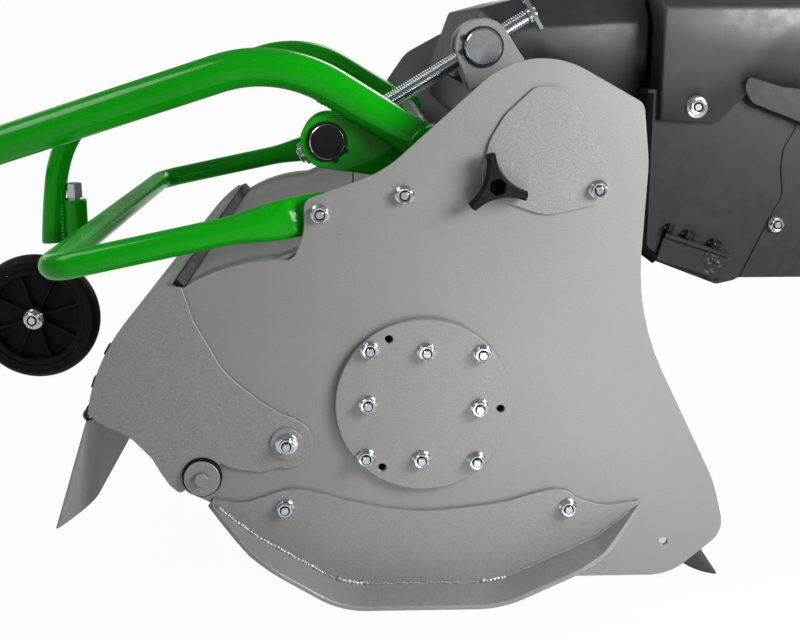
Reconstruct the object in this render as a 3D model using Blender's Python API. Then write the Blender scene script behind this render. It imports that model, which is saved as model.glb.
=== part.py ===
"""Hammer knife mower: a flail head with swinging hammers on a belt driven rotor.

Metres, +Z up. X runs along the machine: -X is the front with the lifting hood, the guard bar and
the castors, +X is the rear with the drive unit. Y runs across it: the side with the access cover
and the star knob is -Y. Side outlines are drawn about the rotor axis, at x = 0 and z = 0, and one
empty lifts and centres the whole machine, so that it stands on its skids at z = 0.
"""

import math

import bmesh
import bpy
from mathutils import Matrix, Vector

# Overall sizes
DECK_WIDTH = 0.820
AXIS_HEIGHT = 0.205
ARM_REACH = 0.640
REAR_END = 0.452
GAP = 0.0003
WELD = 0.000002

# Side plates and what is bolted to them
PLATE = 0.004
FLANGE_RADIUS = 0.092
FLANGE_PLATE = 0.008
NUT_PITCH = 0.058
NUT_TURN = -2.3
NUT_WIDTH = 0.016
NUT_HEIGHT = 0.010
NUT_FACE = 0.0095
HOOD_PIVOT = (-0.143, -0.041)
HOOD_RADIUS = 0.208
HOOD_SHEET = 0.003
VISOR_GAP = 0.011
STOP_POINT = (-0.232, -0.077)
STOP_RADIUS = 0.0205
COVER_PIVOT = (0.175, 0.224)
KNOB_POINT = (0.071, 0.229)
KNOB_REACH = 0.033
COVER_SHEET = 0.003
GUARD_BOLT = (-0.105, 0.200)
TIE_POINT = (-0.020, 0.219)
TIE_RADIUS = 0.013
SKID_WIDTH = 0.060
SKID_PLATE = 0.005
FLAP_HINGE = (-0.347, -0.009)
FLAP_LENGTH = 0.134
FLAP_ROD = 0.003
REAR_ROD_POINT = (0.260, -0.158)
REAR_ROD = 0.0045

# Rotor and belt drive
ROTOR_TUBE = 0.0508
ROTOR_WALL = 0.0063
ROTOR_DISC = 0.010
STUB_RADIUS = 0.015
BEARING_RADIUS = 0.031
BEARING_WIDTH = 0.016
PIN_CIRCLE = 0.092
HAMMER_PIN = 0.006
HAMMER_COUNT = 12
HAMMER_LENGTH = 0.080
HAMMER_THICK = 0.012
HAMMER_GAP = 0.003
LUG_PLATE = 0.006
BELT_CASE_DEPTH = 0.058
PULLEY_START = 0.014
PULLEY_WIDTH = 0.032
ROTOR_PULLEY = 0.055
DRIVE_PULLEY = 0.050
BELT_THICK = 0.009
DRIVE_POINT = (0.128, 0.268)
DRIVE_SHAFT = 0.0125
CASE_MARGIN = 0.006

# Arm frame, height screw and castors
ARM_TUBE = 0.020
ARM_PIVOT = (0.010, 0.260)
ARM_APEX = (-0.148, 0.356)
ARM_BEND = 0.150
ARM_SLOPE = 0.319
ARM_INBOARD = 0.047
ARM_CONVERGE = 0.114
PIVOT_SHAFT = 0.0150
LOWER_TRUNNION = (-0.0985, 0.266)
UPPER_TRUNNION = (0.064, 0.363)
TRUNNION_RADIUS = 0.020
SCREW_INBOARD = 0.103
SCREW_RADIUS = 0.008
SCREW_PLAY = 0.0016
EAR_GAP = 0.050
EAR_PLATE = 0.007
CASTOR_TUBE = 0.016
CASTOR_LEG_X = -0.471
CASTOR_CORNER_Z = 0.205
CASTOR_BEND = 0.085
CROSS_TUBE_X = -0.400
SLEEVE_X = -0.4405
SLEEVE_RADIUS = 0.0150
SLEEVE_TOP = 0.161
SLEEVE_LENGTH = 0.057
STEM_RADIUS = 0.008
WHEEL_RADIUS = 0.082
WHEEL_WIDTH = 0.032
WHEEL_OFFSET = 0.040
WHEEL_CENTRE = (-0.4895, 0.0127)
RIM_RADIUS = 0.064
SPOKES = 8
GUARD_TUBE = 0.0145
GUARD_CORNER = (-0.382, 0.153)
GUARD_BEND = 0.040

# Drive unit
CHASSIS_INBOARD = 0.105
CHASSIS_PLATE = 0.005
CHASSIS_FRONT = 0.246
CHASSIS_TOP = 0.318
CHASSIS_SEAM = 0.006
CHASSIS_BOTTOM = 0.110
COVER_TOP = 0.425
COVER_WALL = 0.004
COVER_CHAMFER = 0.022
COVER_FRONT = 0.256
HOUSING_INBOARD = 0.143
HOUSING_TOP = 0.4235
HOUSING_RISE = 0.0065
HOUSING_FRONT = 0.041
HOUSING_LEAN = 0.375
HOUSING_CHAMFER = 0.034
COUPLING_RADIUS = 0.049
COUPLING_BORE = 0.026
COUPLING_BOLTS = 0.039
COUPLING_HOLE = 0.0045
COUPLING_PLATE = 0.012
SHAFT_HEIGHT = 0.268
GEARBOX_HALF = 0.075
INPUT_RADIUS = 0.0125
BEAM_POINT = (0.078, 0.298)
BEAM_SIZE = 0.050

FINISHES = {
    "plate_grey": ((0.44, 0.44, 0.43), 0.50, 0.25),
    "zinc": ((0.62, 0.63, 0.64), 0.30, 0.90),
    "green": ((0.01, 0.33, 0.01), 0.22, 0.00),
    "black_plastic": ((0.035, 0.035, 0.038), 0.55, 0.00),
    "black_steel": ((0.025, 0.026, 0.028), 0.45, 0.10),
    "rubber": ((0.020, 0.020, 0.020), 0.85, 0.00),
    "forged": ((0.22, 0.21, 0.20), 0.55, 0.80),
}


def clear_scene():
    """Remove everything the file holds."""
    for obj in list(bpy.data.objects):
        bpy.data.objects.remove(obj, do_unlink=True)


def finish(key):
    """Material of one finish, made once."""
    found = bpy.data.materials.get(key)
    if found:
        return found
    colour, rough, metal = FINISHES[key]
    material = bpy.data.materials.new(key)
    material.use_nodes = True
    shader = material.node_tree.nodes["Principled BSDF"]
    shader.inputs["Base Color"].default_value = (*colour, 1.0)
    shader.inputs["Roughness"].default_value = rough
    shader.inputs["Metallic"].default_value = metal
    return material


# Outlines in the XZ plane

def arc(centre, radius, start, end, step=12.0):
    """Points on a circle from one angle to another, in degrees."""
    count = max(2, int(math.ceil(abs(end - start) / step)))
    points = []
    for i in range(count + 1):
        angle = math.radians(start + (end - start) * i / count)
        points.append((centre[0] + radius * math.cos(angle), centre[1] + radius * math.sin(angle)))
    return points


def rounded(corners, step=16.0, closed=True):
    """Outline through corners (x, z) or (x, z, radius); a radius is limited by its two sides."""
    points = []
    total = len(corners)
    for i, corner in enumerate(corners):
        here = Vector(corner[:2])
        radius = corner[2] if len(corner) > 2 else 0.0
        if radius <= 0 or (not closed and i in (0, total - 1)):
            points.append(tuple(here))
            continue
        before = Vector(corners[i - 1][:2]) - here
        after = Vector(corners[(i + 1) % total][:2]) - here
        half = before.angle(after) / 2
        reach = radius / math.tan(half)
        limit = 0.48 * min(before.length, after.length)
        if reach > limit:
            reach = limit
            radius = reach * math.tan(half)
        before.normalize()
        after.normalize()
        centre = here + (before + after).normalized() * (radius / math.sin(half))
        first = here + before * reach - centre
        turn = math.pi - 2 * half
        count = max(1, int(math.ceil(math.degrees(turn) / step)))
        sense = 1.0 if before.x * after.y - before.y * after.x < 0 else -1.0
        for k in range(count + 1):
            angle = sense * turn * k / count
            c, s = math.cos(angle), math.sin(angle)
            points.append((centre.x + first.x * c - first.y * s, centre.y + first.x * s + first.y * c))
    return points


def ribbon(line, thickness):
    """Closed outline of a sheet that follows a line, its thickness laid to the left of the line."""
    other = []
    for i, point in enumerate(line):
        here = Vector(point)
        before = here - Vector(line[i - 1]) if i > 0 else None
        after = Vector(line[i + 1]) - here if i < len(line) - 1 else None
        sides = []
        for run in (before, after):
            if run is not None and run.length > 1e-9:
                sides.append(Vector((-run.y, run.x)).normalized())
        normal = sum(sides, Vector((0.0, 0.0))).normalized()
        stretch = 1.0 / max(0.5, normal.dot(sides[0]))
        other.append(tuple(here + normal * thickness * stretch))
    return list(line) + other[::-1]


def capsule(a, ra, b, rb, step=18.0):
    """Outline of two circles joined by their outer tangents."""
    span = Vector(b) - Vector(a)
    along = math.degrees(math.atan2(span.y, span.x))
    lean = math.degrees(math.acos((ra - rb) / span.length))
    first = arc(b, rb, along - lean, along + lean, step)
    return first + arc(a, ra, along + lean, along + 360 - lean, step)


# Solids

def made(name, bm):
    """Object from a closed bmesh, its faces turned outwards."""
    bmesh.ops.recalc_face_normals(bm, faces=bm.faces)
    mesh = bpy.data.meshes.new(name)
    bm.to_mesh(mesh)
    bm.free()
    obj = bpy.data.objects.new(name, mesh)
    bpy.context.scene.collection.objects.link(obj)
    return obj


def prism(outline, y0, y1):
    """An XZ outline extruded between two places across the machine."""
    bm = bmesh.new()
    near = [bm.verts.new((x, y0, z)) for x, z in outline]
    far = [bm.verts.new((x, y1, z)) for x, z in outline]
    bm.faces.new(near)
    bm.faces.new(far[::-1])
    count = len(outline)
    for i in range(count):
        k = (i + 1) % count
        bm.faces.new((near[i], far[i], far[k], near[k]))
    return made("prism", bm)


def block(x0, x1, y0, y1, z0, z1):
    """A rectangular block."""
    return prism([(x0, z0), (x1, z0), (x1, z1), (x0, z1)], y0, y1)


def turned(profile, centre, direction, segments=24, ring=False, sides=None):
    """Solid of revolution: profile points are (radius, distance along the axis).

    A profile that isn't a ring starts and ends on the axis. sides gives, for some profile points,
    the number of flats that the turned circle is cut to, as on a hexagon nut.
    """
    bm = bmesh.new()
    turn = Vector(direction).to_track_quat("Z", "Y").to_matrix().to_4x4()
    place = Matrix.Translation(centre) @ turn
    rows = []
    for index, (radius, along) in enumerate(profile):
        if radius < 1e-7:
            rows.append([bm.verts.new(place @ Vector((0, 0, along)))])
            continue
        row = []
        flats = sides[index] if sides else 0
        for i in range(segments):
            angle = 2 * math.pi * i / segments
            reach = radius
            if flats:
                part = 2 * math.pi / flats
                reach = radius / math.cos((angle + part / 2) % part - part / 2)
            row.append(bm.verts.new(place @ Vector((reach * math.cos(angle), reach * math.sin(angle), along))))
        rows.append(row)
    pairs = list(zip(rows, rows[1:]))
    if ring:
        pairs.append((rows[-1], rows[0]))
    for a, b in pairs:
        for i in range(segments):
            k = (i + 1) % segments
            if len(a) == 1 and len(b) == 1:
                break
            if len(a) == 1:
                bm.faces.new((a[0], b[k], b[i]))
            elif len(b) == 1:
                bm.faces.new((a[i], a[k], b[0]))
            else:
                bm.faces.new((a[i], a[k], b[k], b[i]))
    return made("turned", bm)


def rod(start, end, radius, segments=20):
    """A plain round bar between two points."""
    start, end = Vector(start), Vector(end)
    length = (end - start).length
    profile = [(0, 0), (radius, 0), (radius, length), (0, length)]
    return turned(profile, start, end - start, segments)


def bore(start, end, radius, segments=20):
    """Cutter for a round hole, its flats standing off the true radius, never inside it."""
    return rod(start, end, radius / math.cos(math.pi / segments), segments)


def bent_path(corners, step=15.0):
    """Path through 3D corners (x, y, z, bend radius), each bend an arc."""
    points = []
    for i, corner in enumerate(corners):
        here = Vector(corner[:3])
        radius = corner[3] if len(corner) > 3 else 0.0
        if radius <= 0 or i in (0, len(corners) - 1):
            points.append(here)
            continue
        before = Vector(corners[i - 1][:3]) - here
        after = Vector(corners[i + 1][:3]) - here
        half = before.angle(after) / 2
        reach = min(radius / math.tan(half), 0.48 * min(before.length, after.length))
        radius = reach * math.tan(half)
        before.normalize()
        after.normalize()
        centre = here + (before + after).normalized() * (radius / math.sin(half))
        first = here + before * reach - centre
        axis = before.cross(after).normalized()
        turn = math.pi - 2 * half
        count = max(2, int(math.ceil(math.degrees(turn) / step)))
        for k in range(count + 1):
            points.append(centre + Matrix.Rotation(-turn * k / count, 3, axis) @ first)
    return points


def swept(path, radius, segments=14):
    """Round bar along a path, its cross-section carried without twist."""
    bm = bmesh.new()
    rows = []
    heading = (path[1] - path[0]).normalized()
    side = heading.orthogonal().normalized()
    for i, point in enumerate(path):
        before = (point - path[i - 1]).normalized() if i > 0 else None
        after = (path[i + 1] - point).normalized() if i < len(path) - 1 else None
        known = [run for run in (before, after) if run is not None]
        tangent = sum(known, Vector()).normalized()
        side = (side - tangent * side.dot(tangent)).normalized()
        other = tangent.cross(side)
        row = []
        for k in range(segments):
            angle = 2 * math.pi * k / segments
            row.append(bm.verts.new(point + (side * math.cos(angle) + other * math.sin(angle)) * radius))
        rows.append(row)
    for a, b in zip(rows, rows[1:]):
        for k in range(segments):
            m = (k + 1) % segments
            bm.faces.new((a[k], a[m], b[m], b[k]))
    bm.faces.new(rows[0][::-1])
    bm.faces.new(rows[-1])
    return made("swept", bm)


def welded(mesh):
    """Join doubled points left along a cut; true when the mesh is then one closed surface."""
    bm = bmesh.new()
    bm.from_mesh(mesh)
    bmesh.ops.remove_doubles(bm, verts=bm.verts, dist=WELD)
    bmesh.ops.dissolve_degenerate(bm, edges=bm.edges, dist=WELD)
    closed = all(len(edge.link_faces) == 2 for edge in bm.edges)
    bm.to_mesh(mesh)
    bm.free()
    return closed


def changed(base, tools, operation):
    """Boolean of a base with its tools, applied, so that one closed mesh is left."""
    source = base.data
    for solver in ("EXACT", "MANIFOLD"):
        base.data = source
        base.modifiers.clear()
        for tool in tools:
            modifier = base.modifiers.new("bool", "BOOLEAN")
            modifier.operation = operation
            modifier.solver = solver
            modifier.object = tool
        bpy.context.view_layer.update()
        graph = bpy.context.evaluated_depsgraph_get()
        mesh = bpy.data.meshes.new_from_object(base.evaluated_get(graph))
        if welded(mesh):
            break
    base.modifiers.clear()
    base.data = mesh
    for tool in tools:
        bpy.data.objects.remove(tool, do_unlink=True)
    return base


def fused(base, *tools):
    """Weld pieces to a base."""
    return changed(base, tools, "UNION")


def cut(base, *tools):
    """Cut holes and pockets in a base."""
    return changed(base, tools, "DIFFERENCE")


def flange_nut(point, direction, width=NUT_WIDTH, height=NUT_HEIGHT):
    """Hexagon nut, sunk a little into what it clamps."""
    sink = 0.0008
    corner = width / math.sqrt(3)
    return turned([(0, -sink), (corner, -sink), (corner, height), (0, height)], point, direction, 6)


# Places across the machine

def across(side, inboard):
    """Y of a place at a distance inboard of a side plate's outer face; side is -1 near, 1 far."""
    return side * (DECK_WIDTH / 2 - inboard)


def between(side, a, b):
    """Two places across the machine in rising order."""
    return sorted((across(side, a), across(side, b)))


def at(point, y):
    """3D point from an XZ point."""
    return Vector((point[0], y, point[1]))


def side_name(side):
    """Near is the side with the access cover."""
    return "near" if side < 0 else "far"


# The pieces

PIECES = []


def piece(name, obj, key, pivot=None):
    """Name a finished solid, give it its finish and put its origin on its joint's axis."""
    obj.name = name
    obj.data.name = name
    obj.data.materials.clear()
    obj.data.materials.append(finish(key))
    if pivot is not None:
        obj.data.transform(Matrix.Translation(-Vector(pivot)))
        obj.location = pivot
    obj.data.shade_smooth()
    obj.data.set_sharp_from_angle(angle=math.radians(30))
    PIECES.append(obj)
    return obj


def plate_outline():
    """Side plate: visor arc, step behind the guard bar, hump over the drive, swept rear edge."""
    visor = arc(HOOD_PIVOT, HOOD_RADIUS - HOOD_SHEET - VISOR_GAP, 122, 91, 8)
    rest = rounded([
        (-0.129, 0.154, 0.016), (-0.113, 0.219, 0.014), (-0.040, 0.243, 0.110),
        (0.1045, 0.3725, 0.095), (0.219, 0.309, 0.014), (0.226, 0.250, 0.120),
        (0.220, 0.092, 0.260), (0.311, -0.090, 0.150), (0.326, -0.147, 0.030),
        (0.268, -0.197, 0.060), (-0.088, -0.197, 0.050), (-0.225, -0.107, 0.012),
        (-0.252, -0.094, 0.012), (-0.262, -0.020, 0.060),
    ])
    return visor + rest


def cover_opening():
    """Opening in the near plate that the access cover closes."""
    x, z = DRIVE_POINT
    return rounded([
        (x - 0.045, z - 0.030, 0.020), (x + 0.036, z - 0.036, 0.020),
        (x + 0.036, z + 0.012, 0.022), (x + 0.008, z + 0.044, 0.020), (x - 0.030, z + 0.044, 0.020),
    ])


def side_plate(side):
    """Side plate with its bolts; the near one has the cover opening, its hinge bolt and stud."""
    outer = across(side, 0)
    out = Vector((0, side, 0))
    plate = prism(plate_outline(), *between(side, 0, PLATE))
    spigot = BEARING_RADIUS + 0.0125 + GAP
    cutters = [bore((0, across(side, -0.02), 0), (0, across(side, 0.02), 0), spigot, 24),
               bore(at(REAR_ROD_POINT, across(side, -0.02)), at(REAR_ROD_POINT, across(side, 0.02)),
                   REAR_ROD + GAP, 10)]
    if side < 0:
        cutters.append(prism(cover_opening(), *between(side, -0.02, 0.02)))
    cut(plate, *cutters)
    added = [flange_nut(at(GUARD_BOLT, outer), out), flange_nut(at(TIE_POINT, outer), out)]
    cheek_top = 0.0010 + HOOD_SHEET + GAP
    washer = [(0, -0.001), (0.008, -0.001), (0.008, cheek_top), (0.0185, cheek_top),
              (0.0185, cheek_top + 0.0025), (0.0115, cheek_top + 0.0035), (0.009, cheek_top + 0.0045),
              (0.009, cheek_top + 0.012), (0, cheek_top + 0.012)]
    added.append(turned(washer, at(HOOD_PIVOT, outer), out, 18, sides=[0, 0, 0, 0, 0, 0, 6, 6, 0]))
    disc = STOP_RADIUS - 0.0018
    buffer = [(0, -0.001), (0.010, -0.001), (0.010, 0.0082), (disc, 0.0082), (disc, 0.0102),
              (0.0075, 0.0110), (0.0075, 0.0165), (0, 0.0165)]
    added.append(turned(buffer, at(STOP_POINT, outer), out, 18, sides=[0, 0, 0, 0, 0, 6, 6, 0]))
    if side < 0:
        seat = COVER_SHEET + 2 * GAP
        hinge = [(0, -0.001), (0.006, -0.001), (0.006, seat), (NUT_FACE, seat),
                 (NUT_FACE, seat + 0.0016), (NUT_WIDTH / 2, seat + 0.003),
                 (NUT_WIDTH / 2, seat + NUT_HEIGHT), (0, seat + NUT_HEIGHT)]
        added.append(turned(hinge, at(COVER_PIVOT, outer), out, 12, sides=[0, 0, 0, 0, 0, 6, 6, 0]))
        added.append(rod(at(KNOB_POINT, outer - 0.001 * side), at(KNOB_POINT, outer + 0.015 * side), 0.005, 10))
    fused(plate, *added)
    piece("side_plate_" + side_name(side), plate, "plate_grey")


def bearing_flange(side):
    """Round bearing housing: blind pocket for the bearing, eight nuts, three jacking holes."""
    outer = across(side, 0)
    out = Vector((0, side, 0))
    pocket = BEARING_RADIUS + GAP
    spigot = BEARING_RADIUS + 0.0125
    top = GAP + FLANGE_PLATE
    profile = [(0, top), (FLANGE_RADIUS - 0.001, top), (FLANGE_RADIUS, top - 0.001), (FLANGE_RADIUS, GAP),
               (spigot, GAP), (spigot, -0.012), (pocket, -0.012), (pocket, top - 0.004), (0, top - 0.004)]
    body = turned(profile, (0, outer, 0), out, 40)
    nuts = []
    turn = math.radians(NUT_TURN)
    for row in (-1, 0, 1):
        for column in (-1, 0, 1):
            if row == 0 and column == 0:
                continue
            x = NUT_PITCH * (column * math.cos(turn) - row * math.sin(turn))
            z = NUT_PITCH * (column * math.sin(turn) + row * math.cos(turn))
            nuts.append(flange_nut((x, outer + side * top, z), out))
    holes = []
    for i in range(3):
        x, z = arc((0, 0), 0.080, 120 * i + NUT_TURN, 360)[0]
        holes.append(rod((x, outer + side * (top + 0.005), z), (x, outer - side * 0.005, z), 0.0038, 8))
    cut(body, *holes)
    fused(body, *nuts)
    piece("bearing_flange_" + side_name(side), body, "plate_grey")


def bearing(side):
    """Sealed ball bearing in the flange's pocket, drawn as its rings and recessed shields."""
    outer = across(side, 0)
    out = Vector((0, side, 0))
    top = FLANGE_PLATE - 0.004 - GAP
    low = top - BEARING_WIDTH
    inner = STUB_RADIUS + GAP
    lip = 0.006
    dip = 0.0012
    profile = [(inner, low), (inner + lip, low), (inner + lip, low + dip), (BEARING_RADIUS - lip, low + dip),
               (BEARING_RADIUS - lip, low), (BEARING_RADIUS, low), (BEARING_RADIUS, top), (inner, top)]
    body = turned(profile, (0, outer, 0), out, 24, ring=True)
    piece("bearing_" + side_name(side), body, "zinc")


def hammer_places():
    """Y of each hammer and the angle of its lug: neighbours stand a quarter turn apart."""
    left = across(-1, BELT_CASE_DEPTH + PLATE + 0.012)
    right = across(1, PLATE + 0.016)
    pitch = (right - left) / HAMMER_COUNT
    quarter = (45, 225, 135, 315)
    return [(left + pitch * (i + 0.5), quarter[i % 4], pitch) for i in range(HAMMER_COUNT)]


def rotor():
    """Hollow tube between two discs, stub shafts, and a pair of lugs with a pin for each hammer."""
    left = across(-1, BELT_CASE_DEPTH + PLATE + 0.010)
    right = across(1, PLATE + 0.014)
    top = FLANGE_PLATE - 0.004 - 0.002
    ends = (across(-1, -top), across(1, -top))
    profile = [(0, ends[0]), (STUB_RADIUS, ends[0]), (STUB_RADIUS, left), (ROTOR_TUBE, left),
               (ROTOR_TUBE, right), (STUB_RADIUS, right), (STUB_RADIUS, ends[1]), (0, ends[1])]
    body = turned(profile, (0, 0, 0), (0, 1, 0), 24)
    inner = ROTOR_TUBE - ROTOR_WALL
    cut(body, rod((0, left + ROTOR_DISC, 0), (0, right - ROTOR_DISC, 0), inner, 20))
    hole_y = left - 0.005
    drains = [rod((0, hole_y, z), (0, left + ROTOR_DISC + 0.005, z), 0.005, 8)
              for z in (0.03, -0.03)]
    cut(body, *drains)
    lugs = []
    slot = HAMMER_THICK + HAMMER_GAP
    for y, angle, _ in hammer_places():
        turn = Matrix.Rotation(math.radians(-angle), 4, "Y")
        outline = [(ROTOR_TUBE - 0.004, -0.020), (PIN_CIRCLE, -0.012), (PIN_CIRCLE + 0.011, -0.006),
                   (PIN_CIRCLE + 0.011, 0.006), (PIN_CIRCLE, 0.012), (ROTOR_TUBE - 0.004, 0.020)]
        for sense in (-1, 1):
            span = sorted((y + sense * slot / 2, y + sense * (slot / 2 + LUG_PLATE)))
            lug = prism(outline, *span)
            lug.data.transform(turn)
            lugs.append(lug)
        grip = slot / 2 + LUG_PLATE + 0.002
        pin = rod((PIN_CIRCLE, y - grip, 0), (PIN_CIRCLE, y + grip, 0), HAMMER_PIN, 8)
        pin.data.transform(turn)
        lugs.append(pin)
    fused(body, *lugs)
    piece("rotor", body, "forged", (0, 0, 0))


def hammers():
    """Hammer knives: a shank with an eye on the pin and a wide bevelled head, all hanging down."""
    _, _, pitch = hammer_places()[0]
    head = pitch - 0.004
    half = HAMMER_THICK / 2
    eye = 0.013
    shank = arc((0, 0), eye, -30, 210, 40) + [(-half, -0.020), (-half, -HAMMER_LENGTH + 0.018),
                                              (half, -HAMMER_LENGTH + 0.018), (half, -0.020)]
    base = prism(shank, -HAMMER_THICK / 2, HAMMER_THICK / 2)
    tip = -HAMMER_LENGTH
    shoe = rounded([(-0.009, tip + 0.032, 0.003), (-0.011, tip + 0.008, 0.004), (-0.005, tip, 0.0),
                    (0.005, tip, 0.0), (0.011, tip + 0.008, 0.004), (0.009, tip + 0.032, 0.003)], 40)
    fused(base, prism(shoe, -head / 2, head / 2))
    cut(base, bore((0, -0.02, 0), (0, 0.02, 0), HAMMER_PIN + GAP * 2, 10))
    for i, (y, angle, _) in enumerate(hammer_places()):
        x = PIN_CIRCLE * math.cos(math.radians(angle))
        z = PIN_CIRCLE * math.sin(math.radians(angle))
        copy = bpy.data.objects.new("hammer", base.data.copy())
        bpy.context.scene.collection.objects.link(copy)
        piece("hammer_%02d" % (i + 1), copy, "forged")
        copy.location = (x, y, z)
    bpy.data.objects.remove(base, do_unlink=True)


def grooved(radius, inner, width, along):
    """Ring profile of a pulley with two V grooves, centred at one place along its axis."""
    low = along - width / 2
    depth = 0.010
    points = [(inner, low), (radius, low), (radius, low + 0.003)]
    for k in range(2):
        start = low + 0.003 + k * 0.014
        points += [(radius - depth, start + 0.004), (radius - depth, start + 0.008), (radius, start + 0.012)]
    return points + [(radius, low + width), (inner, low + width)]


def belt_drive():
    """Pulleys, banded belt and the pan that encloses them behind the near plate."""
    middle = across(-1, PULLEY_START + PULLEY_WIDTH / 2)
    profile = grooved(ROTOR_PULLEY, STUB_RADIUS + GAP, PULLEY_WIDTH, middle)
    small = turned(profile, (0, 0, 0), (0, 1, 0), 24, ring=True)
    piece("rotor_pulley", small, "forged", (0, 0, 0))
    inner = capsule((0, 0), ROTOR_PULLEY + GAP, DRIVE_POINT, DRIVE_PULLEY + GAP, 10)
    outer = capsule((0, 0), ROTOR_PULLEY + GAP + BELT_THICK, DRIVE_POINT, DRIVE_PULLEY + GAP + BELT_THICK)
    y0, y1 = middle - 0.0125, middle + 0.0125
    belt = prism(outer, y0, y1)
    cut(belt, prism(inner, y0 - 0.01, y1 + 0.01))
    piece("drive_belt", belt, "rubber")
    reach = BELT_THICK + CASE_MARGIN
    shell = capsule((0, 0), ROTOR_PULLEY + reach + PLATE, DRIVE_POINT, DRIVE_PULLEY + reach + PLATE)
    hollow = capsule((0, 0), ROTOR_PULLEY + reach, DRIVE_POINT, DRIVE_PULLEY + reach)
    case = prism(shell, *between(-1, PLATE + GAP, BELT_CASE_DEPTH + PLATE))
    cut(case, prism(hollow, *between(-1, -0.01, BELT_CASE_DEPTH)))
    wall = (across(-1, BELT_CASE_DEPTH - 0.01), across(-1, BELT_CASE_DEPTH + 0.02))
    cut(case, rod((0, wall[0], 0), (0, wall[1], 0), STUB_RADIUS + 0.001, 24),
        rod(at(DRIVE_POINT, wall[0]), at(DRIVE_POINT, wall[1]), DRIVE_SHAFT + 0.001, 24))
    piece("belt_case", case, "plate_grey")


def drive_shaft():
    """Cross shaft from the gearbox with its pulley."""
    middle = across(-1, PULLEY_START + PULLEY_WIDTH / 2)
    groove = grooved(DRIVE_PULLEY, 0, PULLEY_WIDTH, middle)
    end = -GEARBOX_HALF + 0.004
    profile = [(0, groove[0][1])] + groove[1:-1] + [(DRIVE_SHAFT, groove[-1][1]), (DRIVE_SHAFT, end), (0, end)]
    piece("drive_shaft", turned(profile, at(DRIVE_POINT, 0), (0, 1, 0), 24), "forged", at(DRIVE_POINT, 0))



def gearbox():
    """Bevel gearbox on the beam, with bearing bosses for both shafts and cooling ribs."""
    x, z = DRIVE_POINT
    front = BEAM_POINT[0] + BEAM_SIZE / 2 + GAP
    outline = rounded([(front, z - 0.050, 0.006), (x + 0.066, z - 0.050, 0.018),
                       (x + 0.066, z + 0.048, 0.018), (front, z + 0.048, 0.006)])
    body = prism(outline, -GEARBOX_HALF, GEARBOX_HALF)
    boss = rod((x, -GEARBOX_HALF - 0.022, z), (x, -0.02, z), 0.0235, 18)
    neck = rod((x + 0.05, 0, z), (CHASSIS_FRONT - GAP, 0, z), 0.040, 20)
    rim = rod((CHASSIS_FRONT - 0.012, 0, z), (CHASSIS_FRONT - GAP, 0, z), 0.056, 20)
    ribs = []
    for i in range(5):
        rib_y = -0.052 + 0.026 * i
        ribs.append(block(x - 0.010, x + 0.058, rib_y - 0.002, rib_y + 0.002, z + 0.040, z + 0.056))
    ceiling = HOUSING_TOP - HOUSING_RISE - COVER_WALL - GAP
    pillar = rod((x + 0.030, 0.013, z + 0.040), (x + 0.030, 0.013, ceiling), 0.008, 14)
    fused(body, boss, neck, rim, pillar, *ribs)
    cut(body, bore((x, -GEARBOX_HALF - 0.05, z), (x, -GEARBOX_HALF + 0.006, z), DRIVE_SHAFT + GAP, 16),
        bore((CHASSIS_FRONT - 0.060, 0, z), (CHASSIS_FRONT + 0.05, 0, z), INPUT_RADIUS + GAP, 16))
    piece("gearbox", body, "forged")


def input_shaft():
    """Power shaft from the coupling into the gearbox, with its claw end."""
    z = SHAFT_HEIGHT
    start = CHASSIS_FRONT - 0.058
    end = REAR_END - 0.010
    body = rod((start, 0, z), (end, 0, z), INPUT_RADIUS, 16)
    claw = rod((end - 0.030, 0, z), (end, 0, z), 0.021, 20)
    fused(body, claw)
    cut(body, block(end - 0.012, end + 0.01, -0.007, 0.007, z - 0.03, z + 0.03))
    piece("input_shaft", body, "forged", (start, 0, z))


def deck_top_line():
    """Sheet line over the rotor, from behind the main hood to above the rear flap."""
    over = arc((0, 0), 0.190, 112, 36, 10)
    tail = rounded([over[-1], (0.236, -0.020, 0.120), (0.262, -0.110, 0.060), (0.266, -0.138)], 12, closed=False)
    return over + tail[1:]


def main_hood():
    """Front half of the deck's roof, from the visor edge to the step, with a stiffening lip."""
    radius = HOOD_RADIUS - HOOD_SHEET - VISOR_GAP
    visor = arc(HOOD_PIVOT, radius, 122, 92, 6)
    last = arc((0, 0), 0.190, 113, 114)[0]
    lip = (visor[0][0] + 0.004, visor[0][1] - 0.016)
    line = [lip] + visor + rounded([visor[-1], (-0.118, 0.166, 0.040), last], 12, closed=False)[1:]
    sheet = prism(ribbon(line, -HOOD_SHEET), *between(1, PLATE + GAP, DECK_WIDTH - PLATE - GAP))
    case = capsule((0, 0), ROTOR_PULLEY + BELT_THICK + CASE_MARGIN + PLATE + 0.002, DRIVE_POINT,
                   DRIVE_PULLEY + BELT_THICK + CASE_MARGIN + PLATE + 0.002)
    cut(sheet, prism(case, *between(-1, -0.01, BELT_CASE_DEPTH + PLATE + 0.002)))
    piece("main_hood", sheet, "plate_grey")


def rear_wall():
    """Sheet over and behind the rotor; it starts at the belt case and ends at the far plate."""
    sheet = prism(ribbon(deck_top_line(), HOOD_SHEET),
                  across(-1, BELT_CASE_DEPTH + PLATE + GAP), across(1, PLATE + GAP))
    piece("rear_wall", sheet, "plate_grey")


def tie_bar():
    """Round spacer between the side plates at their upper bolt."""
    ends = (across(-1, PLATE + GAP), across(1, PLATE + GAP))
    profile = [(0.006, ends[0]), (TIE_RADIUS, ends[0]), (TIE_RADIUS, ends[1]), (0.006, ends[1])]
    piece("tie_bar", turned(profile, at(TIE_POINT, 0), (0, 1, 0), 20, ring=True), "plate_grey")


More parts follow.
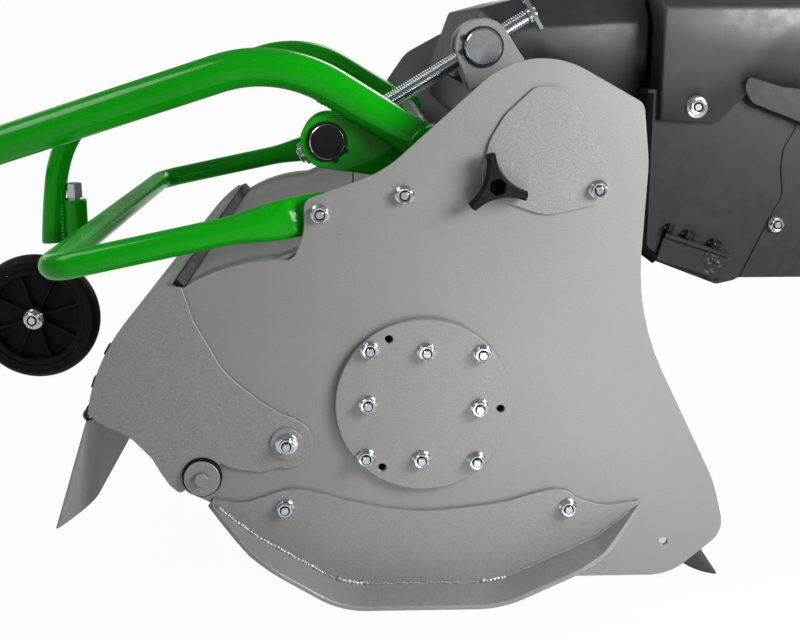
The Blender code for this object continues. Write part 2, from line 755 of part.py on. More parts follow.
def deck_beam():
    """Box beam across the deck that carries the screw bracket and the gearbox."""
    x, z = BEAM_POINT
    half = BEAM_SIZE / 2
    outline = rounded([(x - half, z - half, 0.006), (x + half, z - half, 0.006),
                       (x + half, z + half, 0.006), (x - half, z + half, 0.006)], 30)
    wall = half - 0.004
    hollow = [(x - wall, z - wall), (x + wall, z - wall), (x + wall, z + wall), (x - wall, z + wall)]
    start = across(-1, BELT_CASE_DEPTH + PLATE + GAP)
    end = across(1, PLATE + GAP)
    beam = prism(outline, start, end)
    cut(beam, prism(hollow, start - 0.01, end + 0.01))
    piece("deck_beam", beam, "plate_grey")


def pivot_shaft():
    """Cross shaft that the arms hang on, held between the side plates."""
    ends = (across(-1, PLATE + GAP), across(1, PLATE + GAP))
    body = rod(at(ARM_PIVOT, ends[0]), at(ARM_PIVOT, ends[1]), PIVOT_SHAFT, 24)
    piece("pivot_shaft", body, "zinc")


def skid_foot():
    """Lower edge of a skid's plate, front tip to rear tip."""
    foot = -AXIS_HEIGHT + SKID_PLATE
    return rounded([(-0.224, -0.101), (-0.178, -0.143, 0.040), (-0.086, foot, 0.090),
                    (0.078, foot, 0.110), (0.185, -0.150, 0.060), (0.231, -0.112)], 10, closed=False)


def skid_brow():
    """Upper edge of a skid's plate, rear tip to front tip: a hump round each nut, low between."""
    nuts = ((0.152, -0.096), (-0.142, -0.093))
    points = [(0.214, -0.1155), (0.194, -0.116)]
    for x, top in nuts:
        middle = 0.010
        reach = abs(x - middle)
        for i in range(7):
            u = -0.30 + 1.30 * i / 6 if x > middle else 1.0 - 1.30 * i / 6
            swell = 0.5 + 0.5 * math.cos(math.pi * max(-1.0, min(1.0, u / (0.30 if u < 0 else 1.0))))
            sense = 1 if x > middle else -1
            low = -0.120 if u >= 0 else -0.1135
            points.append((x - sense * u * reach, low + (top - low) * swell))
    points += [(-0.205, -0.1050)]
    cleaned = [points[0]]
    for point in points[1:]:
        if cleaned[-1][0] - point[0] > 0.004:
            cleaned.append(point)
    return cleaned


def skid(side):
    """Skid: a plate bolted to the deck and a sole welded along its foot, wide below, pointed at both tips."""
    foot = skid_foot()
    outer = between(side, -GAP - SKID_PLATE, -GAP)
    plate = prism(foot + skid_brow(), *outer)
    sole = bmesh.new()
    lengths = [0.0]
    for a, b in zip(foot, foot[1:]):
        lengths.append(lengths[-1] + (Vector(b) - Vector(a)).length)
    inner_y = across(side, -GAP)
    outline = ribbon(foot, -SKID_PLATE)
    lower = outline[len(foot):][::-1]
    rows = []
    for i, (top, under) in enumerate(zip(foot, lower)):
        part = lengths[i] / lengths[-1]
        spread = min(1.0, min(part, 1.0 - part) / 0.24)
        width = SKID_PLATE + 0.001 + (SKID_WIDTH - SKID_PLATE) * math.sin(spread * math.pi / 2)
        edge = inner_y + side * width
        rows.append([sole.verts.new((top[0], inner_y, top[1])), sole.verts.new((top[0], edge, top[1])),
                     sole.verts.new((under[0], edge, under[1])), sole.verts.new((under[0], inner_y, under[1]))])
    for a, b in zip(rows, rows[1:]):
        for k in range(4):
            m = (k + 1) % 4
            sole.faces.new((a[k], a[m], b[m], b[k]))
    sole.faces.new(rows[0])
    sole.faces.new(rows[-1][::-1])
    strip = made("sole", sole)
    out = Vector((0, side, 0))
    face = across(side, -GAP - SKID_PLATE)
    fused(plate, strip, flange_nut((-0.146, face, -0.112), out), flange_nut((0.154, face, -0.115), out))
    piece("skid_" + side_name(side), plate, "plate_grey")


def guard_bar():
    """Tube bumper: two legs from flattened bolted ends to a cross run ahead of the deck."""
    inset = PLATE + GAP + GUARD_TUBE
    y = across(-1, inset)
    slope = (GUARD_BOLT[1] - GUARD_CORNER[1]) / (GUARD_BOLT[0] - GUARD_CORNER[0])
    back = (GUARD_BOLT[0] - 0.020, GUARD_BOLT[1] - 0.020 * slope)
    path = bent_path([(back[0], y, back[1]), (GUARD_CORNER[0], y, GUARD_CORNER[1], GUARD_BEND),
                      (GUARD_CORNER[0], -y, GUARD_CORNER[1], GUARD_BEND), (back[0], -y, back[1])])
    body = swept(path, GUARD_TUBE, 12)
    tabs = []
    for side in (-1, 1):
        x, z = GUARD_BOLT
        tab = rounded([(x - 0.036, z - 0.021, 0.006), (x - 0.010, z - 0.021, 0.010),
                       (x + 0.020, z - 0.016, 0.016), (x + 0.020, z + 0.014, 0.016),
                       (x - 0.010, z + 0.016, 0.010), (x - 0.036, z + 0.009, 0.006)], 24)
        tabs.append(prism(tab, *between(side, PLATE + GAP, PLATE + GAP + 0.012)))
    fused(body, *tabs)
    piece("guard_bar", body, "green")


def screw_direction():
    """Unit vector along the height screw, from the lower trunnion to the upper one."""
    span = Vector((UPPER_TRUNNION[0] - LOWER_TRUNNION[0], 0, UPPER_TRUNNION[1] - LOWER_TRUNNION[1]))
    return span.normalized()


def screw_bracket():
    """Two tapered ears on the deck beam that carry the upper trunnion."""
    y = across(-1, SCREW_INBOARD)
    x, z = UPPER_TRUNNION
    base = BEAM_POINT[1] + BEAM_SIZE / 2 + GAP
    crown = arc((x, z), 0.029, 200, 34, 18)
    outline = [(x - 0.010, base)] + crown + [(x + 0.061, base)]
    ears = []
    for sense in (-1, 1):
        span = sorted((y + sense * EAR_GAP / 2, y + sense * (EAR_GAP / 2 + EAR_PLATE)))
        ears.append(prism(outline, *span))
    half = EAR_GAP / 2 + EAR_PLATE
    foot = block(x - 0.010, x + 0.038, y - half, y + half, base, base + 0.006)
    body = fused(foot, *ears)
    cut(body, bore((x, y - 0.06, z), (x, y + 0.06, z), TRUNNION_RADIUS + GAP, 24))
    piece("screw_bracket", body, "plate_grey")


def trunnion(name, point, key):
    """Cross pin bored for the screw, with a retaining ring at each end."""
    y = across(-1, SCREW_INBOARD)
    half = EAR_GAP / 2 + EAR_PLATE
    ring = TRUNNION_RADIUS + 0.004
    end = half + 0.006
    step = half + 0.0004
    profile = [(0, -end), (TRUNNION_RADIUS - 0.001, -end), (TRUNNION_RADIUS, -end + 0.001),
               (TRUNNION_RADIUS, -step - 0.002), (ring, -step - 0.002), (ring, -step), (TRUNNION_RADIUS, -step),
               (TRUNNION_RADIUS, step), (ring, step), (ring, step + 0.002), (TRUNNION_RADIUS, step + 0.002),
               (TRUNNION_RADIUS, end - 0.001), (TRUNNION_RADIUS - 0.001, end), (0, end)]
    body = turned(profile, (point[0], y, point[1]), (0, 1, 0), 20)
    along = screw_direction() * 0.05
    centre = at(point, y)
    play = SCREW_PLAY if name == "lower_trunnion" else GAP
    cut(body, bore(centre - along, centre + along, SCREW_RADIUS + play, 14))
    piece(name, body, key, centre)


def height_screw():
    """Threaded spindle through both trunnions, with collars either side of the lower one."""
    y = across(-1, SCREW_INBOARD)
    way = screw_direction()
    low = at(LOWER_TRUNNION, y)
    high = at(UPPER_TRUNNION, y)
    body = rod(low - way * 0.036, high + way * 0.058, SCREW_RADIUS, 14)
    near = TRUNNION_RADIUS + SCREW_PLAY
    collars = [rod(low + way * near, low + way * (near + 0.010), 0.0125, 14),
               rod(low - way * near, low - way * (near + 0.010), 0.0125, 14)]
    fused(body, *collars)
    piece("height_screw", body, "zinc", low)


def screw_crank():
    """Flat crank plate and hexagon hub on the screw's upper end."""
    y = across(-1, SCREW_INBOARD)
    way = screw_direction()
    end = at(UPPER_TRUNNION, y) + way * 0.058
    up = Vector((-way.z, 0, way.x))
    hub = turned([(0, GAP), (0.012, GAP), (0.012, 0.012), (0, 0.012)], end, way, 12, sides=[0, 6, 6, 0])
    bm = bmesh.new()
    corners = []
    for length, width in ((-0.024, -0.009), (-0.024, 0.009), (-0.016, 0.013), (0.016, 0.013),
                          (0.024, 0.009), (0.024, -0.009), (0.016, -0.013), (-0.016, -0.013)):
        corners.append(up * length + Vector((0, width, 0)))
    low = [bm.verts.new(end + c + way * 0.004) for c in corners]
    top = [bm.verts.new(end + c + way * 0.009) for c in corners]
    bm.faces.new(low)
    bm.faces.new(top[::-1])
    for i in range(len(low)):
        k = (i + 1) % len(low)
        bm.faces.new((low[i], low[k], top[k], top[i]))
    plate = made("crank", bm)
    fused(plate, hub)
    piece("screw_crank", plate, "zinc", end)


def arm_inboard(x):
    """Distance of an arm's centre from the side plate's outer face; the arms draw in towards the front."""
    turn = ARM_APEX[0] + 0.250
    return ARM_INBOARD + ARM_CONVERGE * max(0.0, turn - x)


def arm_frame():
    """Both arms and their front bow, screw gusset, cross tube, castor leg and sleeve, all welded."""
    front_x = -ARM_REACH
    front_z = ARM_APEX[1] - ARM_SLOPE * (ARM_APEX[0] - front_x)
    corners = []
    for side in (-1, 1):
        run = [(ARM_PIVOT[0], across(side, arm_inboard(ARM_PIVOT[0])), ARM_PIVOT[1]),
               (ARM_APEX[0], across(side, arm_inboard(ARM_APEX[0])), ARM_APEX[1], ARM_BEND),
               (front_x, across(side, arm_inboard(front_x)), front_z, 0.090)]
        corners += run if side < 0 else run[::-1]
    body = swept(bent_path(corners, 15), ARM_TUBE, 12)
    bosses = []
    pivot_bores = []
    for side in (-1, 1):
        y = across(side, arm_inboard(ARM_PIVOT[0]))
        bosses.append(rod(at(ARM_PIVOT, y - 0.022), at(ARM_PIVOT, y + 0.022), 0.024, 18))
        pivot_bores.append(bore(at(ARM_PIVOT, y - 0.05), at(ARM_PIVOT, y + 0.05), PIVOT_SHAFT + GAP, 18))
    fused(body, *bosses)
    cut(body, *pivot_bores)
    fused(body, *castor_leg())
    fused(body, *gusset())
    cut(body, bore((SLEEVE_X, 0, SLEEVE_TOP + 0.02), (SLEEVE_X, 0, SLEEVE_TOP - SLEEVE_LENGTH - 0.02),
                   STEM_RADIUS + GAP, 14))
    piece("arm_frame", body, "green", at(ARM_PIVOT, 0))


def castor_leg():
    """Cross tube between the arms, the bent leg under its middle, and the swivel sleeve with its web."""
    low = SLEEVE_TOP - SLEEVE_LENGTH
    cross_z = ARM_APEX[1] - ARM_SLOPE * (ARM_APEX[0] - CROSS_TUBE_X) + 0.0004
    reach = across(1, arm_inboard(CROSS_TUBE_X))
    path = bent_path([(CASTOR_LEG_X, 0, low), (CASTOR_LEG_X, 0, CASTOR_CORNER_Z, CASTOR_BEND),
                      (CROSS_TUBE_X - 0.004, 0, cross_z - 0.004)])
    return [rod((CROSS_TUBE_X, -reach, cross_z), (CROSS_TUBE_X, reach, cross_z), CASTOR_TUBE, 16),
            swept(path, CASTOR_TUBE, 16),
            rod((SLEEVE_X, 0, SLEEVE_TOP), (SLEEVE_X, 0, low), SLEEVE_RADIUS, 20),
            block(CASTOR_LEG_X, SLEEVE_X - STEM_RADIUS - 0.001, -0.005, 0.005, low + 0.004,
                  SLEEVE_TOP - 0.004)]


def gusset():
    """Two plates that carry the lower trunnion, one welded under the near arm, and their spacer."""
    y = across(-1, SCREW_INBOARD)
    x, z = LOWER_TRUNNION
    outline = arc((x, z), 0.0275, 250, 165, 20) + rounded([
        (x - 0.036, z + 0.038, 0.012), (x - 0.022, z + 0.077), (x + 0.058, z + 0.026),
        (x + 0.062, z - 0.004), (x + 0.050, z - 0.036, 0.005)], 40)
    parts = []
    for sense in (-1, 1):
        span = sorted((y + sense * EAR_GAP / 2, y + sense * (EAR_GAP / 2 + EAR_PLATE)))
        parts.append(cut(prism(outline, *span),
                         bore((x, y - 0.06, z), (x, y + 0.06, z), TRUNNION_RADIUS + GAP, 24)))
    reach = EAR_GAP / 2 + EAR_PLATE / 2
    parts.append(rod((x - 0.024, y - reach, z + 0.036), (x - 0.024, y + reach, z + 0.036), 0.010, 12))
    return parts


def castor():
    """Castor: stem in the sleeve with its top nut, crown, single side arm and axle."""
    low = SLEEVE_TOP - SLEEVE_LENGTH
    crown_top = low - GAP
    stem = rod((SLEEVE_X, 0, crown_top - 0.010), (SLEEVE_X, 0, SLEEVE_TOP + 0.004), STEM_RADIUS, 14)
    crown = block(SLEEVE_X - 0.013, SLEEVE_X + 0.013, -0.019, 0.012, crown_top - 0.014, crown_top)
    centre = WHEEL_CENTRE
    fork = rounded([(SLEEVE_X + 0.013, crown_top, 0.003), (SLEEVE_X - 0.020, crown_top, 0.006),
                    (centre[0] - 0.013, centre[1] + 0.010, 0.010),
                    (centre[0] - 0.010, centre[1] - 0.013, 0.010),
                    (centre[0] + 0.014, centre[1] - 0.010, 0.010),
                    (SLEEVE_X + 0.013, crown_top - 0.022, 0.012)], 24)
    arm = prism(fork, -0.019, -0.011)
    hub_out = -WHEEL_OFFSET - WHEEL_WIDTH / 2 - 0.004
    axle = rod(at(centre, -0.012), at(centre, hub_out - 0.002), 0.006, 12)
    nut = flange_nut((SLEEVE_X, 0, SLEEVE_TOP + GAP), (0, 0, 1), 0.018, 0.014)
    nut.data.transform(Matrix.Translation((0, 0, 0.0008)))
    hub_nut = flange_nut(at(centre, hub_out - 0.0012), (0, -1, 0), 0.019, 0.011)
    fused(stem, crown, arm, axle, nut, hub_nut)
    piece("castor_fork", stem, "zinc", (SLEEVE_X, 0, SLEEVE_TOP))


def wheel():
    """Castor wheel: moulded rim with eight spokes, and its tyre."""
    centre = at(WHEEL_CENTRE, -WHEEL_OFFSET)
    half = WHEEL_WIDTH / 2
    hub_end = half + 0.003
    hub = turned([(0.0063, -hub_end), (0.018, -hub_end), (0.018, hub_end), (0.0063, hub_end)],
                 centre, (0, 1, 0), 20, ring=True)
    rim_in = RIM_RADIUS - 0.009
    edge = half - 0.003
    band = turned([(rim_in + 0.003, -edge), (RIM_RADIUS, -edge), (RIM_RADIUS, edge), (rim_in + 0.003, edge),
                   (rim_in, 0.003), (rim_in, -0.003)], centre, (0, 1, 0), 40, ring=True)
    spokes = []
    for i in range(SPOKES):
        spoke = block(0.012, rim_in + 0.004, -0.009, 0.009, -0.0022, 0.0022)
        turn = Matrix.Rotation(2 * math.pi * (i + 0.3) / SPOKES, 4, "Y")
        spoke.data.transform(Matrix.Translation(centre) @ turn)
        spokes.append(spoke)
    web = turned([(0.014, -0.0015), (rim_in + 0.003, -0.0015), (rim_in + 0.003, 0.0015), (0.014, 0.0015)],
                 centre, (0, 1, 0), 20, ring=True)
    fused(hub, band, web, *spokes)
    piece("wheel_rim", hub, "black_plastic", centre)
    inner = RIM_RADIUS + GAP
    tyre = turned([(inner, -edge), (WHEEL_RADIUS - 0.006, -half), (WHEEL_RADIUS, -half + 0.007),
                   (WHEEL_RADIUS, half - 0.007), (WHEEL_RADIUS - 0.006, half), (inner, edge)],
                  centre, (0, 1, 0), 40, ring=True)
    piece("tyre", tyre, "rubber", centre)


def front_hood():
    """Lifting visor: a cheek outside each side plate and the curved sheet between them."""
    cheek_span = [0.0010, 0.0010 + HOOD_SHEET]
    notch = STOP_RADIUS + 0.0008
    outline = (arc(HOOD_PIVOT, HOOD_RADIUS, 125.5, 167, 8)
               + rounded([(-0.347, -0.014, 0.014), (-0.312, -0.030, 0.040), (-0.286, -0.052, 0.050),
                          (-0.257, -0.096, 0.006)])
               + arc(STOP_POINT, notch, 218, 30, 20)
               + [(-0.196, -0.072)]
               + arc(HOOD_PIVOT, 0.0275, 262, 430, 20)
               + rounded([(-0.158, -0.006, 0.030), (-0.206, 0.036, 0.080), (-0.236, 0.092, 0.060),
                          (-0.246, 0.126, 0.004)]))
    cheeks = []
    for side in (-1, 1):
        span = between(side, -cheek_span[0], -cheek_span[1])
        cheek = prism(outline, *span)
        cheek = cut(cheek, bore(at(HOOD_PIVOT, across(side, -0.02)), at(HOOD_PIVOT, across(side, 0.02)),
                               0.008 + GAP, 16))
        ends = [at(FLAP_HINGE, across(side, -edge)) for edge in cheek_span]
        ear = rod(*ends, 0.007, 10)
        cheeks.append(fused(cheek, ear))
    line = arc(HOOD_PIVOT, HOOD_RADIUS, 126, 166, 6) + [(-0.3448, 0.002)]
    edge = across(1, -cheek_span[1] + 0.0005)
    sheet = prism(ribbon(line, HOOD_SHEET), -edge, edge)
    fused(sheet, *cheeks)
    holes = [bore(at(FLAP_HINGE, across(side, -0.02)), at(FLAP_HINGE, across(side, 0.02)), FLAP_ROD + GAP, 12)
             for side in (-1, 1)]
    cut(sheet, *holes)
    piece("front_hood", sheet, "plate_grey", at(HOOD_PIVOT, 0))


def hood_seal():
    """Rubber strip under the visor's rear edge, wiping the main hood."""
    low = HOOD_RADIUS - HOOD_SHEET - VISOR_GAP + 0.001
    high = HOOD_RADIUS - HOOD_SHEET - GAP
    outline = arc(HOOD_PIVOT, high, 126, 121.5, 2) + arc(HOOD_PIVOT, low, 122.5, 125, 2)
    outline[len(outline) // 2 - 1] = arc(HOOD_PIVOT, high + 0.006, 121.5, 180)[0]
    width = across(1, PLATE)
    piece("hood_seal", prism(outline, -width, width), "rubber", at(HOOD_PIVOT, 0))


def curved_flap(start, end, sag):
    """Line of a flap from its hinge to its tip, bowed sideways by sag."""
    a, b = Vector(start), Vector(end)
    normal = Vector((-(b - a).y, (b - a).x)).normalized()
    points = []
    for i in range(9):
        t = i / 8
        points.append(tuple(a + (b - a) * t + normal * sag * 4 * t * (1 - t)))
    return points


def front_flap():
    """Deflector flap under the visor's nose, rolled round its rod."""
    tip = (FLAP_HINGE[0] - FLAP_LENGTH * math.sin(math.radians(18)),
           FLAP_HINGE[1] - FLAP_LENGTH * math.cos(math.radians(18)))
    half = across(1, 0.0)
    start = (FLAP_HINGE[0] - 0.004, FLAP_HINGE[1] - 0.004)
    sheet = prism(ribbon(curved_flap(start, tip, 0.010), 0.0025), -half, half)
    roll = rod(at(FLAP_HINGE, -half), at(FLAP_HINGE, half), 0.0068, 12)
    reach = across(1, -0.0065)
    profile = [(0, -reach - 0.0015), (0.0055, -reach - 0.0015), (0.0055, -reach + 0.0015),
               (FLAP_ROD, -reach + 0.0015), (FLAP_ROD, reach - 0.0015), (0.0055, reach - 0.0015),
               (0.0055, reach + 0.0015), (0, reach + 0.0015)]
    fused(sheet, roll, turned(profile, at(FLAP_HINGE, 0), (0, 1, 0), 12))
    piece("front_flap", sheet, "plate_grey", at(FLAP_HINGE, 0))


def rear_flap():
    """Rear deflector, curved back from a rod between the side plates."""
    half = across(1, PLATE + 0.003)
    x, z = REAR_ROD_POINT
    line = curved_flap((x + 0.004, z - 0.003), (0.322, -0.198), -0.008)
    sheet = prism(ribbon(line, -0.0025), -half, half)
    roll = rod(at(REAR_ROD_POINT, -half), at(REAR_ROD_POINT, half), 0.0085, 12)
    reach = across(1, 0.003)
    fused(sheet, roll, rod(at(REAR_ROD_POINT, -reach), at(REAR_ROD_POINT, reach), REAR_ROD, 12))
    piece("rear_flap", sheet, "black_steel", at(REAR_ROD_POINT, 0))


def access_cover():
    """Swinging cover over the belt opening, slotted for the knob's stud."""
    x, z = DRIVE_POINT
    outline = rounded([
        (0.118, 0.331, 0.018), (0.140, 0.326, 0.010), (0.175, 0.286, 0.045), (0.191, 0.226, 0.014),
        (0.174, 0.205, 0.016), (0.128, 0.194, 0.060), (0.062, 0.206, 0.010), (0.055, 0.240, 0.018),
        (0.070, 0.292, 0.060)], 18)
    body = prism(outline, *between(-1, -GAP, -GAP - COVER_SHEET))
    kx, kz = KNOB_POINT
    slot = [(kx - 0.0058, kz - 0.06), (kx + 0.0058, kz - 0.06)] + arc((kx, kz), 0.0058, 0, 180, 30)
    cut(body, prism(slot, *between(-1, 0.01, -0.02)),
        bore(at(COVER_PIVOT, across(-1, -0.02)), at(COVER_PIVOT, across(-1, 0.02)), 0.006 + GAP, 12))
    piece("access_cover", body, "plate_grey", at(COVER_PIVOT, across(-1, 0)))


def star_knob():
    """Three-lobed clamping knob on the cover's stud, with a hexagon recess."""
    low = across(-1, -GAP - COVER_SHEET - GAP)
    base = rod(at(KNOB_POINT, low), at(KNOB_POINT, low - 0.020), 0.013, 16)
    lobes = []
    for i in range(3):
        angle = math.radians(103 + 120 * i)
        tip = (KNOB_POINT[0] + (KNOB_REACH - 0.008) * math.cos(angle),
               KNOB_POINT[1] + (KNOB_REACH - 0.008) * math.sin(angle))
        shape = capsule(KNOB_POINT, 0.010, tip, 0.008, 36)
        lobes.append(prism(shape, low - 0.022, low - 0.008))
    fused(base, *lobes)
    cut(base, bore(at(KNOB_POINT, low + 0.01), at(KNOB_POINT, low - 0.0135), 0.005 + GAP, 10),
        turned([(0, 0), (0.008, 0), (0.008, 0.02), (0, 0.02)], at(KNOB_POINT, low - 0.0160), (0, -1, 0), 12,
               sides=[0, 6, 6, 0]))
    piece("star_knob", base, "black_plastic", at(KNOB_POINT, low))


def stop_buffer(side):
    """Rubber ring that the visor's cheek rests on."""
    outer = across(side, 0)
    body = turned([(0.010 + GAP, GAP), (STOP_RADIUS, GAP), (STOP_RADIUS, 0.0078), (0.010 + GAP, 0.0078)],
                  at(STOP_POINT, outer), (0, side, 0), 20, ring=True)
    piece("stop_buffer_" + side_name(side), body, "rubber")


def chassis_outline():
    """Chassis side plate: straight front edge, sloped belly, square rear."""
    f, b, t = CHASSIS_FRONT, CHASSIS_BOTTOM, CHASSIS_TOP
    rear = REAR_END - COUPLING_PLATE - GAP
    return rounded([(f, t, 0.004), (f, b + 0.028, 0.012), (f + 0.088, b - 0.006, 0.010),
                    (f + 0.104, b + 0.001, 0.008), (rear, b - 0.001), (rear, t)])


def chassis(side):
    """Chassis side plate with its rolled front edge and, on the near one, the welded angle."""
    plate = prism(chassis_outline(), *between(side, CHASSIS_INBOARD, CHASSIS_INBOARD + CHASSIS_PLATE))
    y = across(side, CHASSIS_INBOARD - 0.0007)
    edge = rod((CHASSIS_FRONT, y, CHASSIS_TOP - 0.003), (CHASSIS_FRONT, y, CHASSIS_BOTTOM + 0.032), 0.0055, 12)
    x = CHASSIS_FRONT + 0.014
    z = CHASSIS_BOTTOM + 0.024
    angle = prism([(x + 0.006, z + 0.030), (x + 0.076, z + 0.008), (x + 0.069, z - 0.022), (x - 0.001, z)],
                  *between(side, CHASSIS_INBOARD - 0.006, CHASSIS_INBOARD + 0.001))
    lip = prism([(x + 0.006, z + 0.030), (x + 0.076, z + 0.008), (x + 0.075, z + 0.003), (x + 0.005, z + 0.025)],
                *between(side, CHASSIS_INBOARD - 0.020, CHASSIS_INBOARD + 0.001))
    top = CHASSIS_TOP + CHASSIS_SEAM
    rear = REAR_END - 0.020
    seam = prism([(x + 0.149, top), (x + 0.136, top - 0.030), (x + 0.136, z + 0.060), (x + 0.100, z - 0.016),
                  (rear, z - 0.016), (rear, top)],
                 *between(side, CHASSIS_INBOARD - 0.003, CHASSIS_INBOARD + 0.001))
    bolt_at = (x + 0.138, across(side, CHASSIS_INBOARD - 0.003), z + 0.038)
    bolt = flange_nut(bolt_at, (0, side, 0), 0.013, 0.008)
    fused(plate, edge, angle, lip, seam, bolt)
    piece("chassis_" + side_name(side), plate, "black_steel")


def chassis_front():
    """Plate across the chassis' front that the gearbox neck is flanged to."""
    width = across(1, CHASSIS_INBOARD + CHASSIS_PLATE + GAP)
    plate = block(CHASSIS_FRONT, CHASSIS_FRONT + 0.006, -width, width, CHASSIS_BOTTOM + 0.040, CHASSIS_TOP)
    cut(plate, rod((CHASSIS_FRONT - 0.02, 0, SHAFT_HEIGHT), (CHASSIS_FRONT + 0.03, 0, SHAFT_HEIGHT),
                   INPUT_RADIUS + 0.006, 24))
    piece("chassis_front_plate", plate, "black_steel")


def coupling_flange():
    """Rear coupling: a cross plate with a round machined pad, four bolt holes and the shaft's bore."""
    width = across(1, CHASSIS_INBOARD)
    x0 = REAR_END - COUPLING_PLATE
    z = SHAFT_HEIGHT
    plate = block(x0, REAR_END - 0.004, -width, width, CHASSIS_BOTTOM + 0.004, CHASSIS_TOP)
    fused(plate, rod((x0 + 0.001, 0, z), (REAR_END, 0, z), COUPLING_RADIUS, 32))
    holes = [bore((x0 - 0.02, 0, z), (REAR_END + 0.02, 0, z), COUPLING_BORE, 32)]
    for y, height in arc((0, z), COUPLING_BOLTS, 45, 315, 90):
        holes.append(bore((x0 - 0.02, y, height), (REAR_END + 0.02, y, height), COUPLING_HOLE, 16))
    cut(plate, *holes)
    piece("coupling_flange", plate, "black_steel")


def chamfered(outline, half, width, floor):
    """Prism across the machine, its side edges chamfered except those at or below its floor."""
    obj = prism(outline, -half, half)
    bm = bmesh.new()
    bm.from_mesh(obj.data)
    edges = []
    for edge in bm.edges:
        a, b = (vertex.co for vertex in edge.verts)
        if abs(a.y - b.y) < half and max(a.z, b.z) > floor + WELD:
            edges.append(edge)
    bmesh.ops.bevel(bm, geom=edges, offset=width, segments=1, affect="EDGES")
    bm.to_mesh(obj.data)
    bm.free()
    return obj


def hollow_cover(outline, inner, half, floor, chamfer):
    """Moulded cover: a chamfered prism, hollowed from below by its inner outline."""
    body = chamfered(outline, half, chamfer, floor)
    return cut(body, chamfered(inner, half - COVER_WALL, chamfer - 0.6 * COVER_WALL, floor))


def drive_housing():
    """Front moulded cover over the gearbox, its front face leaning back."""
    half = across(1, HOUSING_INBOARD)
    base = UPPER_TRUNNION[1] - 0.034
    rear = COVER_FRONT - 0.0005
    brow = HOUSING_TOP - HOUSING_RISE
    outline = [(HOUSING_FRONT, base), (rear, base), (rear, HOUSING_TOP),
               (HOUSING_FRONT + HOUSING_LEAN * (brow - base), brow)]
    front = HOUSING_FRONT + 1.07 * COVER_WALL
    roof = brow - COVER_WALL
    inner = [(front - HOUSING_LEAN * 0.05, base - 0.05), (rear - COVER_WALL, base - 0.05),
             (rear - COVER_WALL, roof), (front + HOUSING_LEAN * (roof - base), roof)]
    piece("drive_housing", hollow_cover(outline, inner, half, base, HOUSING_CHAMFER), "black_plastic")


def rear_cover():
    """Rear moulded cover, saddled over the chassis."""
    half = across(1, CHASSIS_INBOARD - 0.008)
    base = SHAFT_HEIGHT + 0.017
    rear = REAR_END - 0.020
    outline = [(COVER_FRONT, base), (0.330, base - 0.004), (0.350, base + 0.014), (rear, base + 0.014),
               (rear, COVER_TOP), (COVER_FRONT, COVER_TOP)]
    roof = COVER_TOP - COVER_WALL
    hollow = [(COVER_FRONT + COVER_WALL, base - 0.05), (rear - COVER_WALL, base - 0.05),
              (rear - COVER_WALL, roof), (COVER_FRONT + COVER_WALL, roof)]
    body = hollow_cover(outline, hollow, half, base + 0.014, COVER_CHAMFER)
    inner = half - COVER_WALL
    cut(body, block(0.240, REAR_END, -inner, inner, 0.200, CHASSIS_TOP + CHASSIS_SEAM + GAP))
    y = across(-1, CHASSIS_INBOARD - 0.008)
    fused(body, flange_nut((0.302, y, 0.302), (0, -1, 0), 0.015, 0.009))
    piece("rear_cover", body, "black_plastic")


def side_guard():
    """Curved guard plate standing off the near side of the rear cover."""
    y0 = across(-1, CHASSIS_INBOARD - 0.010)
    line = rounded([(0.345, 0.331), (0.352, 0.330, 0.010), (REAR_END - 0.024, 0.317)], 20, closed=False)
    lower = [(REAR_END - 0.024, 0.277), (0.360, 0.302), (0.347, 0.318)]
    body = prism(line + lower, y0 - 0.004, y0 - 0.0005)
    inner_y = across(-1, CHASSIS_INBOARD - 0.008) - GAP
    spacer = rod((0.392, y0 - 0.002, 0.309), (0.392, inner_y, 0.309), 0.008, 14)
    fused(body, spacer)
    piece("side_guard", body, "black_steel")


def stand():
    """One empty lifts the rotor axis to its height and centres the machine over the origin."""
    bpy.context.view_layer.update()
    low = min((obj.matrix_world @ vertex.co).x for obj in PIECES for vertex in obj.data.vertices)
    high = max((obj.matrix_world @ vertex.co).x for obj in PIECES for vertex in obj.data.vertices)
    root = bpy.data.objects.new("mower", None)
    bpy.context.scene.collection.objects.link(root)
    root.location = (-(low + high) / 2, 0, AXIS_HEIGHT)
    for obj in PIECES:
        obj.parent = root
    bpy.context.view_layer.update()
    print("centre offset", round(-(low + high) / 2, 6))


def main():
    """Build every piece."""
    clear_scene()
    for side in (-1, 1):
        side_plate(side)
        bearing_flange(side)
        bearing(side)
        skid(side)
        stop_buffer(side)
        chassis(side)
    castor()
    wheel()
    rotor()
    hammers()
    belt_drive()
    drive_shaft()
    gearbox()
    input_shaft()
    main_hood()
    rear_wall()
    tie_bar()
    deck_beam()
    pivot_shaft()
    guard_bar()
    screw_bracket()
    trunnion("lower_trunnion", LOWER_TRUNNION, "black_steel")
    trunnion("upper_trunnion", UPPER_TRUNNION, "zinc")
    height_screw()
    screw_crank()
    arm_frame()
    front_hood()
    hood_seal()
    front_flap()
    rear_flap()
    access_cover()
    star_knob()
    chassis_front()
    coupling_flange()
    drive_housing()
    rear_cover()
    side_guard()
    stand()


main()
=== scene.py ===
"""Looks of the hammer knife mower, laid out as an add-on and run as a script.

Every visible surface is a function of two parameters, computed with numpy around the packed CAD
frame. Side outlines are in metres about the rotor axis, X to the rear, Y across, Z up.
"""

import math

import bmesh
import bpy
import numpy as np
from bpy.props import FloatProperty, FloatVectorProperty, IntProperty, PointerProperty
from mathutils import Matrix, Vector
from mathutils.geometry import tessellate_polygon


